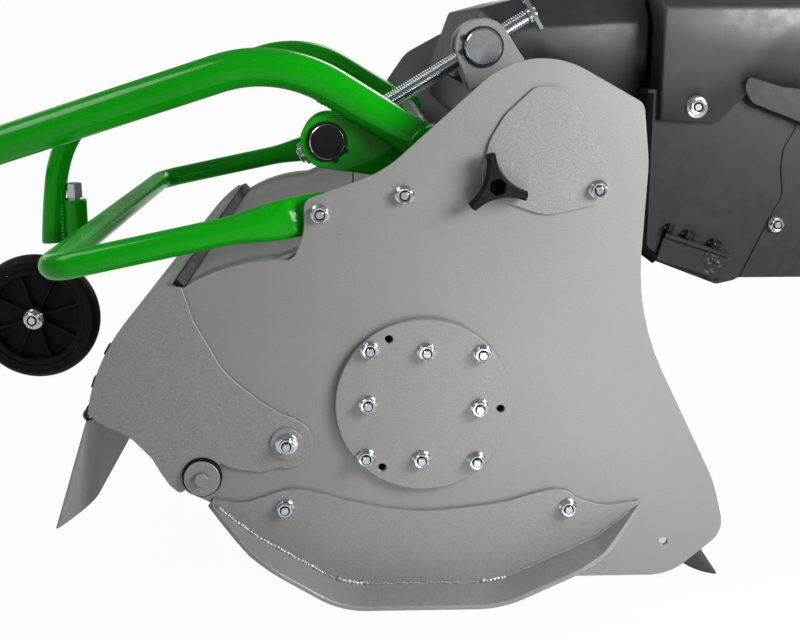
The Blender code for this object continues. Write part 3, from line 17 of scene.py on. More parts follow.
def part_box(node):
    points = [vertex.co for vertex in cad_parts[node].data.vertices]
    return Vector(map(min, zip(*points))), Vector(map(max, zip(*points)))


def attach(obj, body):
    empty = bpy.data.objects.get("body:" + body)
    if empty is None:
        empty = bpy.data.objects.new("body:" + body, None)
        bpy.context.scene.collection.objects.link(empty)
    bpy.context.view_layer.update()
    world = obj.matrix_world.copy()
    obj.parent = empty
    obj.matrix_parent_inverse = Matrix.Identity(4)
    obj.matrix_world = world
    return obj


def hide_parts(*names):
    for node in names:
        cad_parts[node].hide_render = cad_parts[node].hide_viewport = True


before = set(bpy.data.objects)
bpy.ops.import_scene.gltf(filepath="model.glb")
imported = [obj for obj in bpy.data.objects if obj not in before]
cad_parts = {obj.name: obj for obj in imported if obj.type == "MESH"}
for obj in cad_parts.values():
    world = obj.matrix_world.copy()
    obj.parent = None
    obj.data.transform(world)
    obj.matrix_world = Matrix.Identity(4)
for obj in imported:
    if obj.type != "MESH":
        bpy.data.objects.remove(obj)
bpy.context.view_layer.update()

bl_info = {
    "name": "Hammer knife mower looks",
    "version": (1, 0, 0),
    "blender": (4, 5, 0),
    "location": "View3D > Sidebar > Mower",
    "description": "Finishes and modelled detail for a hammer knife mower",
    "category": "Object",
}

# The rotor's axis in the frame, and half the width over the side plates. The deck's inner parts start
# a plate's thickness and a small gap inside it.
GAP = 0.0003
PLATE = 0.004
SHEET_INSET = PLATE + GAP
AXIS = (np.array(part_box("bearing_flange_near")[0]) + np.array(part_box("bearing_flange_near")[1])) / 2
AXIS[1] = 0.0
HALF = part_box("tie_bar")[1][1] + SHEET_INSET
TAU = 2 * math.pi


# Sizes and colours

def length(name, description, default):
    """Setting for a size in metres."""
    return FloatProperty(name=name, description=description, default=default, unit="LENGTH")


def tint(name, description, default):
    """Setting for the base colour of a finish."""
    return FloatVectorProperty(name=name, description=description, default=default, size=3, subtype="COLOR")


class MowerSizes(bpy.types.PropertyGroup):
    """Sizes of the modelled detail."""
    edge: length("Sheet edge", "Chamfer on cut sheet edges", 0.0005)
    thread: length("Bolt thread", "Pitch of the bolt ends' thread", 0.0015)
    screw_thread: length("Screw thread", "Pitch of the height screw", 0.0027)
    ripple: length("Weld ripple", "Distance between two weld ripples", 0.0042)
    around: IntProperty(name="Segments", description="Segments around a tube", default=48)


class MowerColours(bpy.types.PropertyGroup):
    """Base colours of the finishes."""
    powder: tint("Powder coat", "Silver grey powder coat", (0.266, 0.262, 0.258))
    green: tint("Green paint", "Gloss paint on the tubes", (0.002, 0.360, 0.003))
    zinc: tint("Zinc", "Bright zinc plating", (0.62, 0.65, 0.68))
    moulded: tint("Moulded cover", "Black moulded plastic", (0.016, 0.0150, 0.0164))
    painted: tint("Black paint", "Satin black chassis paint", (0.021, 0.020, 0.0235))
    rubber: tint("Rubber", "Tyre, seal, buffers, belt and wheel rim", (0.0045, 0.0036, 0.0040))
    forged: tint("Forged steel", "Rotor, hammers, pulley and shafts", (0.16, 0.15, 0.14))
    weld: tint("Weld", "Bare weld metal", (0.52, 0.52, 0.50))


# Shader arithmetic

class Field:
    """A shader socket that takes part in arithmetic; plain numbers mix in freely."""

    def __init__(self, tree, socket):
        self.tree = tree
        self.socket = socket

    def node(self, kind, inputs=None, output=0, **settings):
        """Output of a new node, its inputs fed by name or position."""
        new = self.tree.nodes.new(kind)
        for key, value in settings.items():
            setattr(new, key, value)
        for key, value in (inputs or {}).items():
            feed(self.tree, new.inputs[key], value)
        return Field(self.tree, new.outputs[output])

    def maths(self, operation, other):
        """Result of a Math node on this field and another, or a number."""
        return self.node("ShaderNodeMath", {0: self, 1: other}, operation=operation)

    def __add__(self, other):
        return self.maths("ADD", other)

    def __mul__(self, other):
        return self.maths("MULTIPLY", other)

    __radd__ = __add__
    __rmul__ = __mul__

    def ramp(self, low, high):
        """0 below low, 1 above high, smooth between."""
        return self.node("ShaderNodeMapRange", {0: self, 1: low, 2: high}, interpolation_type="SMOOTHSTEP")

    def noise(self, scale, detail=3.0, roughness=0.5):
        """Noise between 0 and 1 at this vector."""
        return self.node("ShaderNodeTexNoise", {"Vector": self, "Scale": scale, "Detail": detail,
                                                "Roughness": roughness})

    def cells(self, scale):
        """Distance to the nearest cell centre at this vector."""
        return self.node("ShaderNodeTexVoronoi", {"Vector": self, "Scale": scale})

    def stretched(self, x, y, z):
        """The vector scaled along its axes."""
        return self.node("ShaderNodeVectorMath", {0: self, 1: (x, y, z)}, operation="MULTIPLY")

    def blend(self, first, second):
        """Colour mix, this field as the factor."""
        return self.node("ShaderNodeMix", {0: self, 6: first, 7: second}, output=2, data_type="RGBA")


def feed(tree, socket, value):
    """Link a field to a socket, or set the socket's own value."""
    if isinstance(value, Field):
        tree.links.new(value.socket, socket)
    elif isinstance(value, (tuple, list)) and len(value) == 3 and socket.type == "RGBA":
        socket.default_value = (*value, 1.0)
    else:
        socket.default_value = value


def shade(colour, factor):
    """A colour made lighter or darker."""
    return tuple(min(1.0, channel * factor) for channel in colour)


def material(name, colour, roughness, metallic=0.0, bump=None, strength=0.0, depth=0.0005, **extra):
    """Principled material. Callables get the object coordinates and return a field."""
    found = bpy.data.materials.get("look_" + name)
    if found:
        return found
    new = bpy.data.materials.new("look_" + name)
    new.use_nodes = True
    tree = new.node_tree
    shader = tree.nodes["Principled BSDF"]
    spot = tree.nodes.new("ShaderNodeTexCoord")
    place = Field(tree, spot.outputs["Object"])
    for key, value in (("Base Color", colour), ("Roughness", roughness), ("Metallic", metallic)):
        feed(tree, shader.inputs[key], value(place) if callable(value) else value)
    for key, value in extra.items():
        feed(tree, shader.inputs[key.replace("_", " ").title().replace("Ior", "IOR")], value)
    if bump is not None:
        relief = {"Strength": strength, "Distance": depth, "Height": bump(place)}
        feed(tree, shader.inputs["Normal"], place.node("ShaderNodeBump", relief))
    return new


def mottled(base, scale, detail, low, high, dark, light, grain=0.5):
    """Colour that goes from a dark to a light shade of the base as noise goes from low to high."""
    shades = shade(base, dark), shade(base, light)
    return lambda p: p.noise(scale, detail, grain).ramp(low, high).blend(*shades)


def patchy(scale, detail, low, high, change, least):
    """Roughness in patches: its least value, and a change that noise adds between low and high."""
    return lambda p: p.noise(scale, detail).ramp(low, high) * change + least


def powder_coat(colours):
    """Silver grey powder coat: a fine sparkle of light and dark grains over an orange peel."""
    def colour(p):
        grain = p.noise(1100.0, 2.0, 0.7).ramp(0.32, 0.68)
        cloud = p.noise(7.0, 4.0).ramp(0.30, 0.72)
        speck = p.cells(820.0).ramp(0.05, 0.30)
        factor = grain * 0.75 + speck * 0.15 + cloud * 0.10
        return factor.blend(shade(colours.powder, 0.74), shade(colours.powder, 1.26))

    def peel(p):
        return p.noise(900.0, 2.0) * 0.6 + p.noise(240.0, 2.0) * 0.5

    return material("powder", colour, patchy(260.0, 3.0, 0.3, 0.7, 0.10, 0.42), metallic=0.25,
                    bump=peel, strength=0.26, depth=0.0004, specular_ior_level=0.35)


def green_paint(colours):
    """Gloss paint over tube: a clear layer over a faint orange peel, a little uneven in tone."""
    def peel(p):
        return p.noise(170.0, 2.0) + p.noise(38.0, 2.0) * 0.7

    return material("green", mottled(colours.green, 9.0, 4.0, 0.25, 0.75, 0.86, 1.10),
                    patchy(60.0, 4.0, 0.35, 0.80, 0.10, 0.20), bump=peel, strength=0.10, depth=0.0006,
                    specular_ior_level=0.12, coat_weight=0.24, coat_roughness=0.04)


def zinc_plate(colours):
    """Zinc plated steel: bright and smooth, with a faint cloud."""
    return material("zinc", mottled(colours.zinc, 60.0, 3.0, 0.3, 0.7, 0.90, 1.0),
                    patchy(90.0, 3.0, 0.3, 0.75, 0.06, 0.15), metallic=1.0)


def moulded_black(colours):
    """Moulded plastic with a fine leather grain, a little dusty."""
    def leather(p):
        return p.cells(900.0) * 0.8 + p.noise(500.0, 2.0) * 0.5

    return material("moulded", mottled(colours.moulded, 5.0, 5.0, 0.35, 0.85, 1.0, 1.55),
                    patchy(70.0, 3.0, 0.3, 0.7, 0.12, 0.42), bump=leather, strength=0.18, depth=0.0004,
                    specular_ior_level=0.80)


def black_paint(colours):
    """Satin black paint on steel plate, thin and lighter where it is scuffed."""
    def colour(p):
        scuff = p.stretched(1.0, 1.0, 3.0).noise(34.0, 6.0, 0.7).ramp(0.62, 0.74)
        return (scuff * 0.25).blend(tuple(colours.painted), shade(colours.painted, 2.2))

    return material("painted", colour, patchy(90.0, 4.0, 0.3, 0.7, 0.15, 0.33),
                    bump=lambda p: p.noise(420.0, 3.0), strength=0.20, depth=0.0004,
                    specular_ior_level=0.22)


def soft_rubber(colours):
    """Dull rubber, dusty in patches."""
    return material("rubber", mottled(colours.rubber, 24.0, 4.0, 0.35, 0.80, 1.0, 2.0),
                    patchy(80.0, 3.0, 0.3, 0.7, 0.15, 0.55),
                    bump=lambda p: p.noise(600.0, 3.0), strength=0.2, depth=0.0003, specular_ior_level=0.20)


def forged_steel(colours):
    """Forged and oiled steel: scale, darker pits and a brown tinge."""
    return material("forged", mottled(colours.forged, 45.0, 6.0, 0.35, 0.70, 0.55, 1.0, 0.65),
                    patchy(120.0, 4.0, 0.3, 0.7, 0.25, 0.40), metallic=0.8,
                    bump=lambda p: p.noise(260.0, 5.0, 0.6), strength=0.35, depth=0.0006)


def weld_metal(colours):
    """Weld metal under thin paint, mottled light and dark."""
    return material("weld", mottled(colours.weld, 380.0, 3.0, 0.35, 0.65, 0.62, 1.0),
                    patchy(300.0, 2.0, 0.3, 0.7, 0.2, 0.25), metallic=0.75)


def dark_hole(colours):
    """Inside of a bolt hole or bore, and the shaded roll of a plate's edge."""
    return material("hole", shade(colours.rubber, 0.5), 0.9, specular_ior_level=0.1)


FINISHES = {
    "powder": powder_coat, "green": green_paint, "zinc": zinc_plate, "moulded": moulded_black,
    "painted": black_paint, "rubber": soft_rubber, "forged": forged_steel, "weld": weld_metal,
    # The last finish is painted shade, a near black that stands for shade in holes, recesses and rolled
    # edges.
    "hole": dark_hole,
}


# Outlines

def arc(centre, radius, start, end, step=3.0):
    """Points at equal angles on a circle, in degrees."""
    count = max(2, int(math.ceil(abs(end - start) / step)))
    angle = np.radians(np.linspace(start, end, count + 1))
    return np.stack([centre[0] + radius * np.cos(angle), centre[1] + radius * np.sin(angle)], axis=1)


def rounded(corners, step=5.0, closed=True):
    """Polyline through corners, each with a fillet: two tangent points joined by an arc.

    Works in the plane (x, z, radius) and in space (x, y, z, radius).
    """
    width = 2 if max(len(corner) for corner in corners) < 4 else 3
    pieces = []
    total = len(corners)
    for i, corner in enumerate(corners):
        here = np.array(corner[:width], float)
        radius = corner[width] if len(corner) > width else 0.0
        if radius <= 0 or (not closed and i in (0, total - 1)):
            pieces.append(here[None])
            continue
        before = np.array(corners[i - 1][:width], float) - here
        after = np.array(corners[(i + 1) % total][:width], float) - here
        a, b = np.linalg.norm(before), np.linalg.norm(after)
        before, after = before / a, after / b
        half = math.acos(np.clip(before @ after, -1, 1)) / 2
        reach = min(radius / math.tan(half), 0.48 * min(a, b))
        radius = reach * math.tan(half)
        middle = (before + after) / np.linalg.norm(before + after)
        centre = here + middle * radius / math.sin(half)
        first = here + before * reach - centre
        last = here + after * reach - centre
        turn = math.pi - 2 * half
        part = np.linspace(0, 1, max(2, int(math.ceil(math.degrees(turn) / step))) + 1)[:, None]
        swing = (np.sin((1 - part) * turn) * first + np.sin(part * turn) * last) / math.sin(turn)
        pieces.append(centre + swing)
    return np.concatenate(pieces)


def circle(centre, radius, count=32):
    """A whole circle as a closed loop."""
    angle = np.linspace(0, TAU, count, endpoint=False)
    return np.stack([centre[0] + radius * np.cos(angle), centre[1] + radius * np.sin(angle)], axis=1)


def area(loop):
    """Signed area of a closed loop."""
    after = np.roll(loop, -1, axis=0)
    return 0.5 * float(np.sum(loop[:, 0] * after[:, 1] - after[:, 0] * loop[:, 1]))


def inset(loop, distance):
    """The loop moved to its left by a distance, along the mean normal at each point."""
    before = loop - np.roll(loop, 1, axis=0)
    after = np.roll(loop, -1, axis=0) - loop
    before /= np.maximum(np.linalg.norm(before, axis=1, keepdims=True), 1e-9)
    after /= np.maximum(np.linalg.norm(after, axis=1, keepdims=True), 1e-9)
    normal = np.stack([-(before + after)[:, 1], (before + after)[:, 0]], axis=1)
    length = np.linalg.norm(normal, axis=1, keepdims=True)
    return loop + normal / np.maximum(length, 0.3) ** 2 * 2 * distance


def ribbon(line, thickness):
    """Closed loop of a sheet that follows a line, its thickness on the line's left."""
    run = np.gradient(line, axis=0)
    run /= np.linalg.norm(run, axis=1, keepdims=True)
    left = np.stack([-run[:, 1], run[:, 0]], axis=1)
    return np.concatenate([line, (line + left * thickness)[::-1]])


def spline(points, step=6):
    """Smooth line through points: each span a cubic whose end slopes follow its neighbours."""
    p = np.asarray(points, float)
    slope = np.gradient(p, axis=0)
    t = np.linspace(0, 1, step, endpoint=False)[None, :, None]
    a, b, m, n = p[:-1, None], p[1:, None], slope[:-1, None], slope[1:, None]
    line = ((2 * t ** 3 - 3 * t ** 2 + 1) * a + (t ** 3 - 2 * t ** 2 + t) * m
            + (3 * t ** 2 - 2 * t ** 3) * b + (t ** 3 - t ** 2) * n)
    return np.concatenate([line.reshape(-1, p.shape[1]), p[-1:]])


def bend(first, corner, last, count=6):
    """A corner eased from one point to another as a quadratic curve."""
    t = np.linspace(0, 1, count)[:, None]
    return (1 - t) ** 2 * first + 2 * t * (1 - t) * corner + t ** 2 * last


def resampled(line, count):
    """The line at equal distances along it."""
    run = np.concatenate([[0], np.cumsum(np.linalg.norm(np.diff(line, axis=0), axis=1))])
    fine = np.linspace(0, run[-1], count)
    return np.stack([np.interp(fine, run, line[:, k]) for k in range(line.shape[1])], axis=1)


def bowed(start, end, sag, count=24):
    """A line bowed sideways as a parabola."""
    a, b = np.array(start), np.array(end)
    t = np.linspace(0, 1, count)[:, None]
    d = (b - a) / np.linalg.norm(b - a)
    return a + (b - a) * t + np.array([-d[1], d[0]]) * sag * 4 * t * (1 - t)


def at(point, y):
    """A point, or each point of a line, of the side view at a place across the machine."""
    point = np.asarray(point, float)
    return np.stack([point[..., 0], np.broadcast_to(y, point.shape[:-1]), point[..., 1]], axis=-1)


def quads_over(index):
    """Quads between neighbours in a table of point numbers."""
    return np.stack([index[:-1, :-1], index[1:, :-1], index[1:, 1:], index[:-1, 1:]], axis=-1)


def basis(direction):
    """Two unit vectors square to a direction, and the direction itself."""
    w = np.array(direction, float)
    w /= np.linalg.norm(w)
    helper = np.array([0.0, 0.0, 1.0]) if abs(w[2]) < 0.9 else np.array([1.0, 0.0, 0.0])
    u = np.cross(helper, w)
    u /= np.linalg.norm(u)
    return u, np.cross(w, u), w


class Piece:
    """Collects surfaces, then becomes one object that rides on a CAD body."""

    def __init__(self, name, body, *finishes):
        self.name = name
        self.body = body
        self.finishes = finishes
        self.points = []
        self.quads = []
        self.tris = [(np.zeros((0, 3), int), 0)]
        self.count = 0
        self.slot = 0

    def use(self, finish):
        """Later surfaces take this finish."""
        self.slot = self.finishes.index(finish)

    def add(self, points, quads, tris=None):
        """Add points, and faces given by their numbers among those points."""
        points = points.reshape(-1, 3)
        self.quads.append((quads.reshape(-1, 4) + self.count, self.slot))
        if tris is not None:
            self.tris.append((tris + self.count, self.slot))
        self.points.append(points)
        self.count += len(points)

    def grid(self, points, wrap_u=False, wrap_v=False):
        """Quads over a two parameter surface, points[u, v]."""
        rows, columns = points.shape[:2]
        index = np.arange(rows * columns).reshape(rows, columns)
        if wrap_u:
            index = np.concatenate([index, index[:1]])
        if wrap_v:
            index = np.concatenate([index, index[:, :1]], axis=1)
        self.add(points, quads_over(index))

    def plate(self, loops, y0, y1, edge=None):
        """Sheet with holes: chamfered walls along each loop, and two faces filled between them."""
        edge = bpy.context.scene.mower_sizes.edge if edge is None else edge
        points, quads, rings, lifted, flats = [], [], [], [], []
        start = 0
        for number, loop in enumerate(loops):
            loop = np.asarray(loop, float)
            if (area(loop) > 0) != (number == 0):
                loop = loop[::-1]
            inner = inset(loop, edge)
            size = len(loop)
            for ring, y in ((inner, y0), (loop, y0 + edge), (loop, y1 - edge), (inner, y1)):
                points.append(at(ring, y))
            index = start + np.arange(4 * size).reshape(4, size)
            quads.append(quads_over(np.concatenate([index, index[:, :1]], axis=1)).reshape(-1, 4))
            rings.append(index[0])
            lifted.append(index[3])
            flats.append([(x, z, 0.0) for x, z in inner.tolist()])
            start += 4 * size
        found = np.array(tessellate_polygon(flats))
        tris = np.concatenate([np.concatenate(rings)[found], np.concatenate(lifted)[found][:, ::-1]])
        self.add(np.concatenate(points), np.concatenate(quads), tris)

    def turned(self, profile, centre, direction=(0, 1, 0), around=48, ring=False, shape=None):
        """Surface of revolution: a profile (radius, along) turned about an axis.

        shape(radius, along, angle) returns the true radius where it isn't plain round.
        """
        profile = np.array(profile, float)
        angle = np.linspace(0, TAU, around, endpoint=False)[None, :]
        radius = np.repeat(profile[:, :1], around, axis=1)
        along = np.repeat(profile[:, 1:], around, axis=1)
        if shape is not None:
            radius = shape(radius, along, angle)
        u, v, w = basis(direction)
        c, s = (radius * np.cos(angle))[..., None], (radius * np.sin(angle))[..., None]
        points = np.array(centre, float) + c * u + s * v + along[..., None] * w
        self.grid(points, wrap_u=ring, wrap_v=True)

    def drum(self, inner, outer, low, high, centre, direction=(0, 1, 0), around=48, chamfer=0.0):
        """Disc or rod, or a ring where there is an inner radius, its outer edges chamfered."""
        profile = [(inner, low), (outer, low), (outer, high), (inner, high)]
        if chamfer:
            profile[1:3] = [(outer - chamfer, low), (outer, low + chamfer), (outer, high - chamfer),
                            (outer - chamfer, high)]
        self.turned(profile, centre, direction, around, ring=inner > 0)

    def tube(self, path, radius, reference=(0, 0, 1), around=None, caps=True, flat=None):
        """Circle swept along a path; radius and flat (second half width) may change along it."""
        around = around or bpy.context.scene.mower_sizes.around
        path = np.asarray(path, float)
        run = np.gradient(path, axis=0)
        run /= np.linalg.norm(run, axis=1, keepdims=True)
        side = np.cross(run, np.array(reference, float))
        side /= np.linalg.norm(side, axis=1, keepdims=True)
        up = np.cross(side, run)
        wide = np.broadcast_to(np.asarray(radius, float), (len(path),))
        tall = wide if flat is None else np.broadcast_to(np.asarray(flat, float), (len(path),))
        angle = np.linspace(0, TAU, around, endpoint=False)
        ring = (side[:, None] * np.cos(angle)[None, :, None] * wide[:, None, None]
                + up[:, None] * np.sin(angle)[None, :, None] * tall[:, None, None])
        points = path[:, None] + ring
        if caps:
            ends = np.repeat(path[[0, -1], None], around, axis=1)
            points = np.concatenate([ends[:1], points, ends[1:]])
        self.grid(points, wrap_v=True)

    def slab(self, low, high, edge=0.0008):
        """Box with chamfered long edges, between two corners."""
        (x0, y0, z0), (x1, y1, z1) = low, high
        self.plate([np.array([(x0, z0), (x1, z0), (x1, z1), (x0, z1)])], y0, y1, edge)

    def moved(self, first, change):
        """Apply a change to the points added since a mark."""
        joined = np.concatenate(self.points[first:])
        sizes = np.cumsum([len(block) for block in self.points[first:]])[:-1]
        self.points[first:] = np.split(change(joined), sizes)

    def build(self, replaces=(), sharp=30.0, slot=None):
        """Make the object, weld its seams, turn its faces outwards and attach it to its body."""
        mesh = bpy.data.meshes.new(self.name)
        points = np.concatenate(self.points) + AXIS
        quads = np.concatenate([faces for faces, _ in self.quads])
        tris = np.concatenate([faces for faces, _ in self.tris])
        slots = np.concatenate([np.full(len(faces), slot) for faces, slot in self.quads + self.tris])
        numbers = np.concatenate([quads.ravel(), tris.ravel()]).astype(np.int32)
        mesh.vertices.add(len(points))
        mesh.vertices.foreach_set("co", points.ravel())
        mesh.loops.add(len(numbers))
        mesh.loops.foreach_set("vertex_index", numbers)
        mesh.polygons.add(len(quads) + len(tris))
        starts = np.concatenate([4 * np.arange(len(quads)), 4 * len(quads) + 3 * np.arange(len(tris))])
        mesh.polygons.foreach_set("loop_start", starts.astype(np.int32))
        mesh.polygons.foreach_set("material_index", slots.astype(np.int32))
        mesh.update(calc_edges=True)
        bm = bmesh.new()
        bm.from_mesh(mesh)
        bmesh.ops.remove_doubles(bm, verts=bm.verts, dist=2e-6)
        bmesh.ops.dissolve_degenerate(bm, edges=bm.edges, dist=1e-6)
        bmesh.ops.recalc_face_normals(bm, faces=bm.faces)
        bm.to_mesh(mesh)
        bm.free()
        mesh.shade_smooth()
        mesh.set_sharp_from_angle(angle=math.radians(sharp))
        obj = bpy.data.objects.new(self.name, mesh)
        bpy.context.scene.collection.objects.link(obj)
        for finish in self.finishes:
            mesh.materials.append(FINISHES[finish](bpy.context.scene.mower_colours))
        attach(obj, self.body)
        for node in replaces:
            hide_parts(node)
        return obj

    # Repeated hardware

    def nut(self, centre, direction, width=0.0150, height=0.009, washer=0.0098, bolt=0.0042, tail=0.0022,
            turn=0.0):
        """Flange nut with the bolt's threaded end: a hexagon cut back by two cones.

        No tail makes a bolt head, and no washer leaves the flange out.
        """
        pitch = bpy.context.scene.mower_sizes.thread
        corner = width * 0.578
        foot = 0.0018

        def hexagon(radius, along, angle):
            flat = (width / 2) / np.cos((angle - turn) % (TAU / 6) - TAU / 12)
            return np.minimum(radius, flat)

        def thread(radius, along, angle):
            phase = (along / pitch - angle / TAU) % 1.0
            return radius - (radius > bolt * 0.9) * 0.0005 * np.abs(2 * phase - 1)

        if washer:
            self.turned([(bolt, 0), (washer, 0), (washer, 0.0010), (washer - 0.0007, 0.0016),
                         (width * 0.54, 0.0024), (bolt, 0.0026)], centre, direction, around=36)
        self.turned([(bolt, foot), (corner, foot), (corner, height - 0.0018),
                     (corner * 0.955, height - 0.0006), (width * 0.47, height),
                     (0 if tail is None else bolt, height - 0.0004)],
                    centre, direction, around=60, shape=hexagon)
        if tail is None:
            return
        end = height + tail
        steps = max(3, int((tail + 0.002) / pitch * 6))
        stem = np.linspace(height - 0.002, end - 0.0008, steps)[:, None]
        rows = np.concatenate([np.hstack([0 * stem + bolt, stem]), [(bolt * 0.84, end), (0, end)]])
        self.turned(rows, centre, direction, around=24, shape=thread)
        # Painted shadow: a flat near black ring on the nut's face round the bolt's end, where the groove
        # would lie in shade.
        if "hole" in self.finishes:
            kept, self.slot = self.slot, self.finishes.index("hole")
            shadow = [(bolt * 0.95, height + 0.0002), (bolt * 1.28, height + 0.0001)]
            self.turned(shadow, centre, direction, around=32)
            self.slot = kept

    def bead(self, path, radius, direction=(0, 1, 0)):
        """Weld bead: a tube whose radius ripples with the distance run, thin at both ends."""
        ripple = bpy.context.scene.mower_sizes.ripple
        path = np.asarray(path, float)
        run = np.concatenate([[0], np.cumsum(np.linalg.norm(np.diff(path, axis=0), axis=1))])
        fine = np.linspace(0, run[-1], max(8, int(run[-1] / ripple * 6)))
        line = np.stack([np.interp(fine, run, path[:, k]) for k in range(3)], axis=1)
        wander = np.sin(fine * 410.0) * 0.00035 + np.sin(fine * 157.0 + 1.0) * 0.0003
        line += wander[:, None] * np.array([0.4, 0.0, 0.9])
        waves = 1.0 + 0.16 * np.cos(TAU * fine / ripple) + 0.08 * np.sin(fine * 230.0)
        taper = np.clip(np.minimum(fine, fine[-1] - fine) / 0.004, 0.25, 1.0)
        self.tube(line, radius * waves * taper, direction, around=14)


def across(side, inboard):
    """Y of a place at a distance inboard of a side plate's outer face; side is -1 near, 1 far."""
    return side * (HALF - inboard)


def span(side, a, b):
    """Two places across the machine in rising order."""
    return sorted((across(side, a), across(side, b)))


def beside(y, sense, near, off):
    """Two places on one side of a middle, in rising order."""
    return sorted((y + sense * near, y + sense * off))


def side_name(side):
    """Near is the side with the access cover."""
    return "near" if side < 0 else "far"


# Places in the side view

HOOD_PIVOT = (-0.143, -0.041)
STOP = (-0.232, -0.077)
COVER_PIVOT = (0.175, 0.224)
KNOB = (0.071, 0.229)
GUARD_BOLT = (-0.105, 0.200)
GUARD_CORNER = (-0.386, 0.1410)
TIE = (-0.020, 0.219)
REAR_ROD = (0.260, -0.158)
FLAP_HINGE = (-0.347, -0.009)
DRIVE = (0.128, 0.268)
ARM_PIVOT = (0.010, 0.260)
APEX = (-0.148, 0.356)
LOWER = (-0.0985, 0.266)
UPPER = (0.064, 0.363)
WHEEL = (-0.4895, 0.0127)
SLEEVE_X = -0.4405
CROSS_X = -0.400

# Sizes that several pieces share

BOTH = (-1, 1)              # near side, far side
HOOD_ARC = 0.208            # lifting hood's sheet, about its pivot
VISOR_ARC = 0.194           # main hood's front edge, about the same pivot
DECK_ARC = 0.190            # main hood and rear wall, about the rotor
SKID_FACE = 0.0053          # outer face of a skid, off the side plate
FLANGE_FACE = 0.0083        # outer face of a bearing flange, off the side plate
ARM_FALL = 0.319            # the arms' drop over each metre to the front
ARM_END_X = -0.640
SLEEVE_LOW, SLEEVE_HIGH = 0.104, 0.161
GUARD_TUBE = 0.0145         # radius
SCREW_Y = 0.103             # height screw, from the near plate's outer face
EARS = (0.025, 0.032)       # ears that hold a trunnion, from its middle
EAR_BORE = 0.0203
RING = (0.0326, 0.0343)     # retaining rings outside the ears
BRACKET_FLOOR = 0.3233


def plate_outline(side):
    """Side plate: visor arc, step behind the guard bar, hump over the drive, rear edge, front edge."""
    visor = arc(HOOD_PIVOT, VISOR_ARC, 122, 91, 2)
    step = [(-0.1330, 0.1532, 0.012), (-0.1215, 0.178, 0.060), (-0.1213, 0.2135, 0.013)]
    hump = [(-0.040, 0.243, 0.110), (0.1045, 0.3725, 0.095), (0.219, 0.309, 0.014)]
    if side > 0:
        # The far plate's hump is fuller
        hump = [(-0.045, 0.242, 0.020), (-0.028, 0.285, 0.030), (0.012, 0.342, 0.050), (0.075, 0.376, 0.050),
                (0.150, 0.370, 0.050), (0.219, 0.309, 0.014)]
    rear = [(0.226, 0.250, 0.120), (0.220, 0.092, 0.260), (0.311, -0.090, 0.150), (0.326, -0.147, 0.030)]
    foot = [(0.268, -0.197, 0.060), (-0.088, -0.197, 0.050), (-0.225, -0.107, 0.012)]
    nose = [(-0.252, -0.094, 0.012), (-0.262, -0.020, 0.060)]
    rest = rounded([visor[-1], *step, *hump, *rear, *foot, *nose, visor[0]], closed=False)
    return np.concatenate([visor, rest[1:-1]])


def build_side_plates():
    """Both side plates, the nuts that they carry, and the hood's stops with their rubber rings."""
    x, z = DRIVE
    hatch = rounded([(x - 0.045, z - 0.030, 0.020), (x + 0.036, z - 0.036, 0.020),
                     (x + 0.036, z + 0.012, 0.022), (x + 0.008, z + 0.044, 0.020),
                     (x - 0.030, z + 0.044, 0.020)])
    for side in BOTH:
        name, out, outer = side_name(side), (0, side, 0), across(side, 0)
        piece = Piece("plate_" + name, "deck", "powder")
        loops = [plate_outline(side), circle((0, 0), 0.0438, 64), circle(REAR_ROD, 0.0048, 24)]
        if side < 0:
            loops.append(hatch)
        piece.plate(loops, *span(side, 0, PLATE))
        piece.build(["side_plate_" + name], slot="plate_grey")
        nuts = Piece("plate_nuts_" + name, "deck", "zinc", "hole", "powder")
        nuts.nut(at(GUARD_BOLT, outer), out, turn=0.2)
        nuts.nut(at(TIE, outer), out, turn=0.5)
        nuts.use("powder")
        nuts.turned([(0, -0.001), (0.008, -0.001), (0.008, 0.0043), (0.0173, 0.0043), (0.0173, 0.0062),
                     (0.0167, 0.0068), (0.0060, 0.0068)], at(HOOD_PIVOT, outer), out, around=64)
        nuts.use("zinc")
        nuts.nut(at(HOOD_PIVOT, across(side, -0.0066)), out, turn=0.1, tail=0.004, washer=0.0118)
        if side < 0:
            nuts.turned([(0, -0.001), (0.006, -0.001), (0.006, 0.004)],
                        at(COVER_PIVOT, outer), out, around=24)
            nuts.nut(at(COVER_PIVOT, across(side, -0.0037)), out, turn=0.35)
            nuts.drum(0, 0.005, 0.001, -0.010, at(KNOB, outer), around=24)
        nuts.build(slot="zinc")
        disc = Piece("stop_disc_" + name, "deck", "powder")
        disc.turned([(0, -0.001), (0.010, -0.001), (0.010, 0.0082), (0.0189, 0.0082), (0.0189, 0.0096),
                     (0.0183, 0.0102), (0.004, 0.0102)], at(STOP, outer), out, around=64)
        disc.nut(at(STOP, across(side, -0.0100)), out, width=0.0137, height=0.0058, washer=0, tail=None,
                 turn=0.3)
        disc.build(slot="plate_grey")
        buffer = Piece("buffer_" + name, "deck", "rubber")
        buffer.turned([(0.0103, 0.0004), (0.0198, 0.0004), (0.0205, 0.0012), (0.0205, 0.0070),
                       (0.0198, 0.0078), (0.0103, 0.0078)], at(STOP, outer), out, around=64, ring=True)
        buffer.build(["stop_buffer_" + name], slot="rubber")


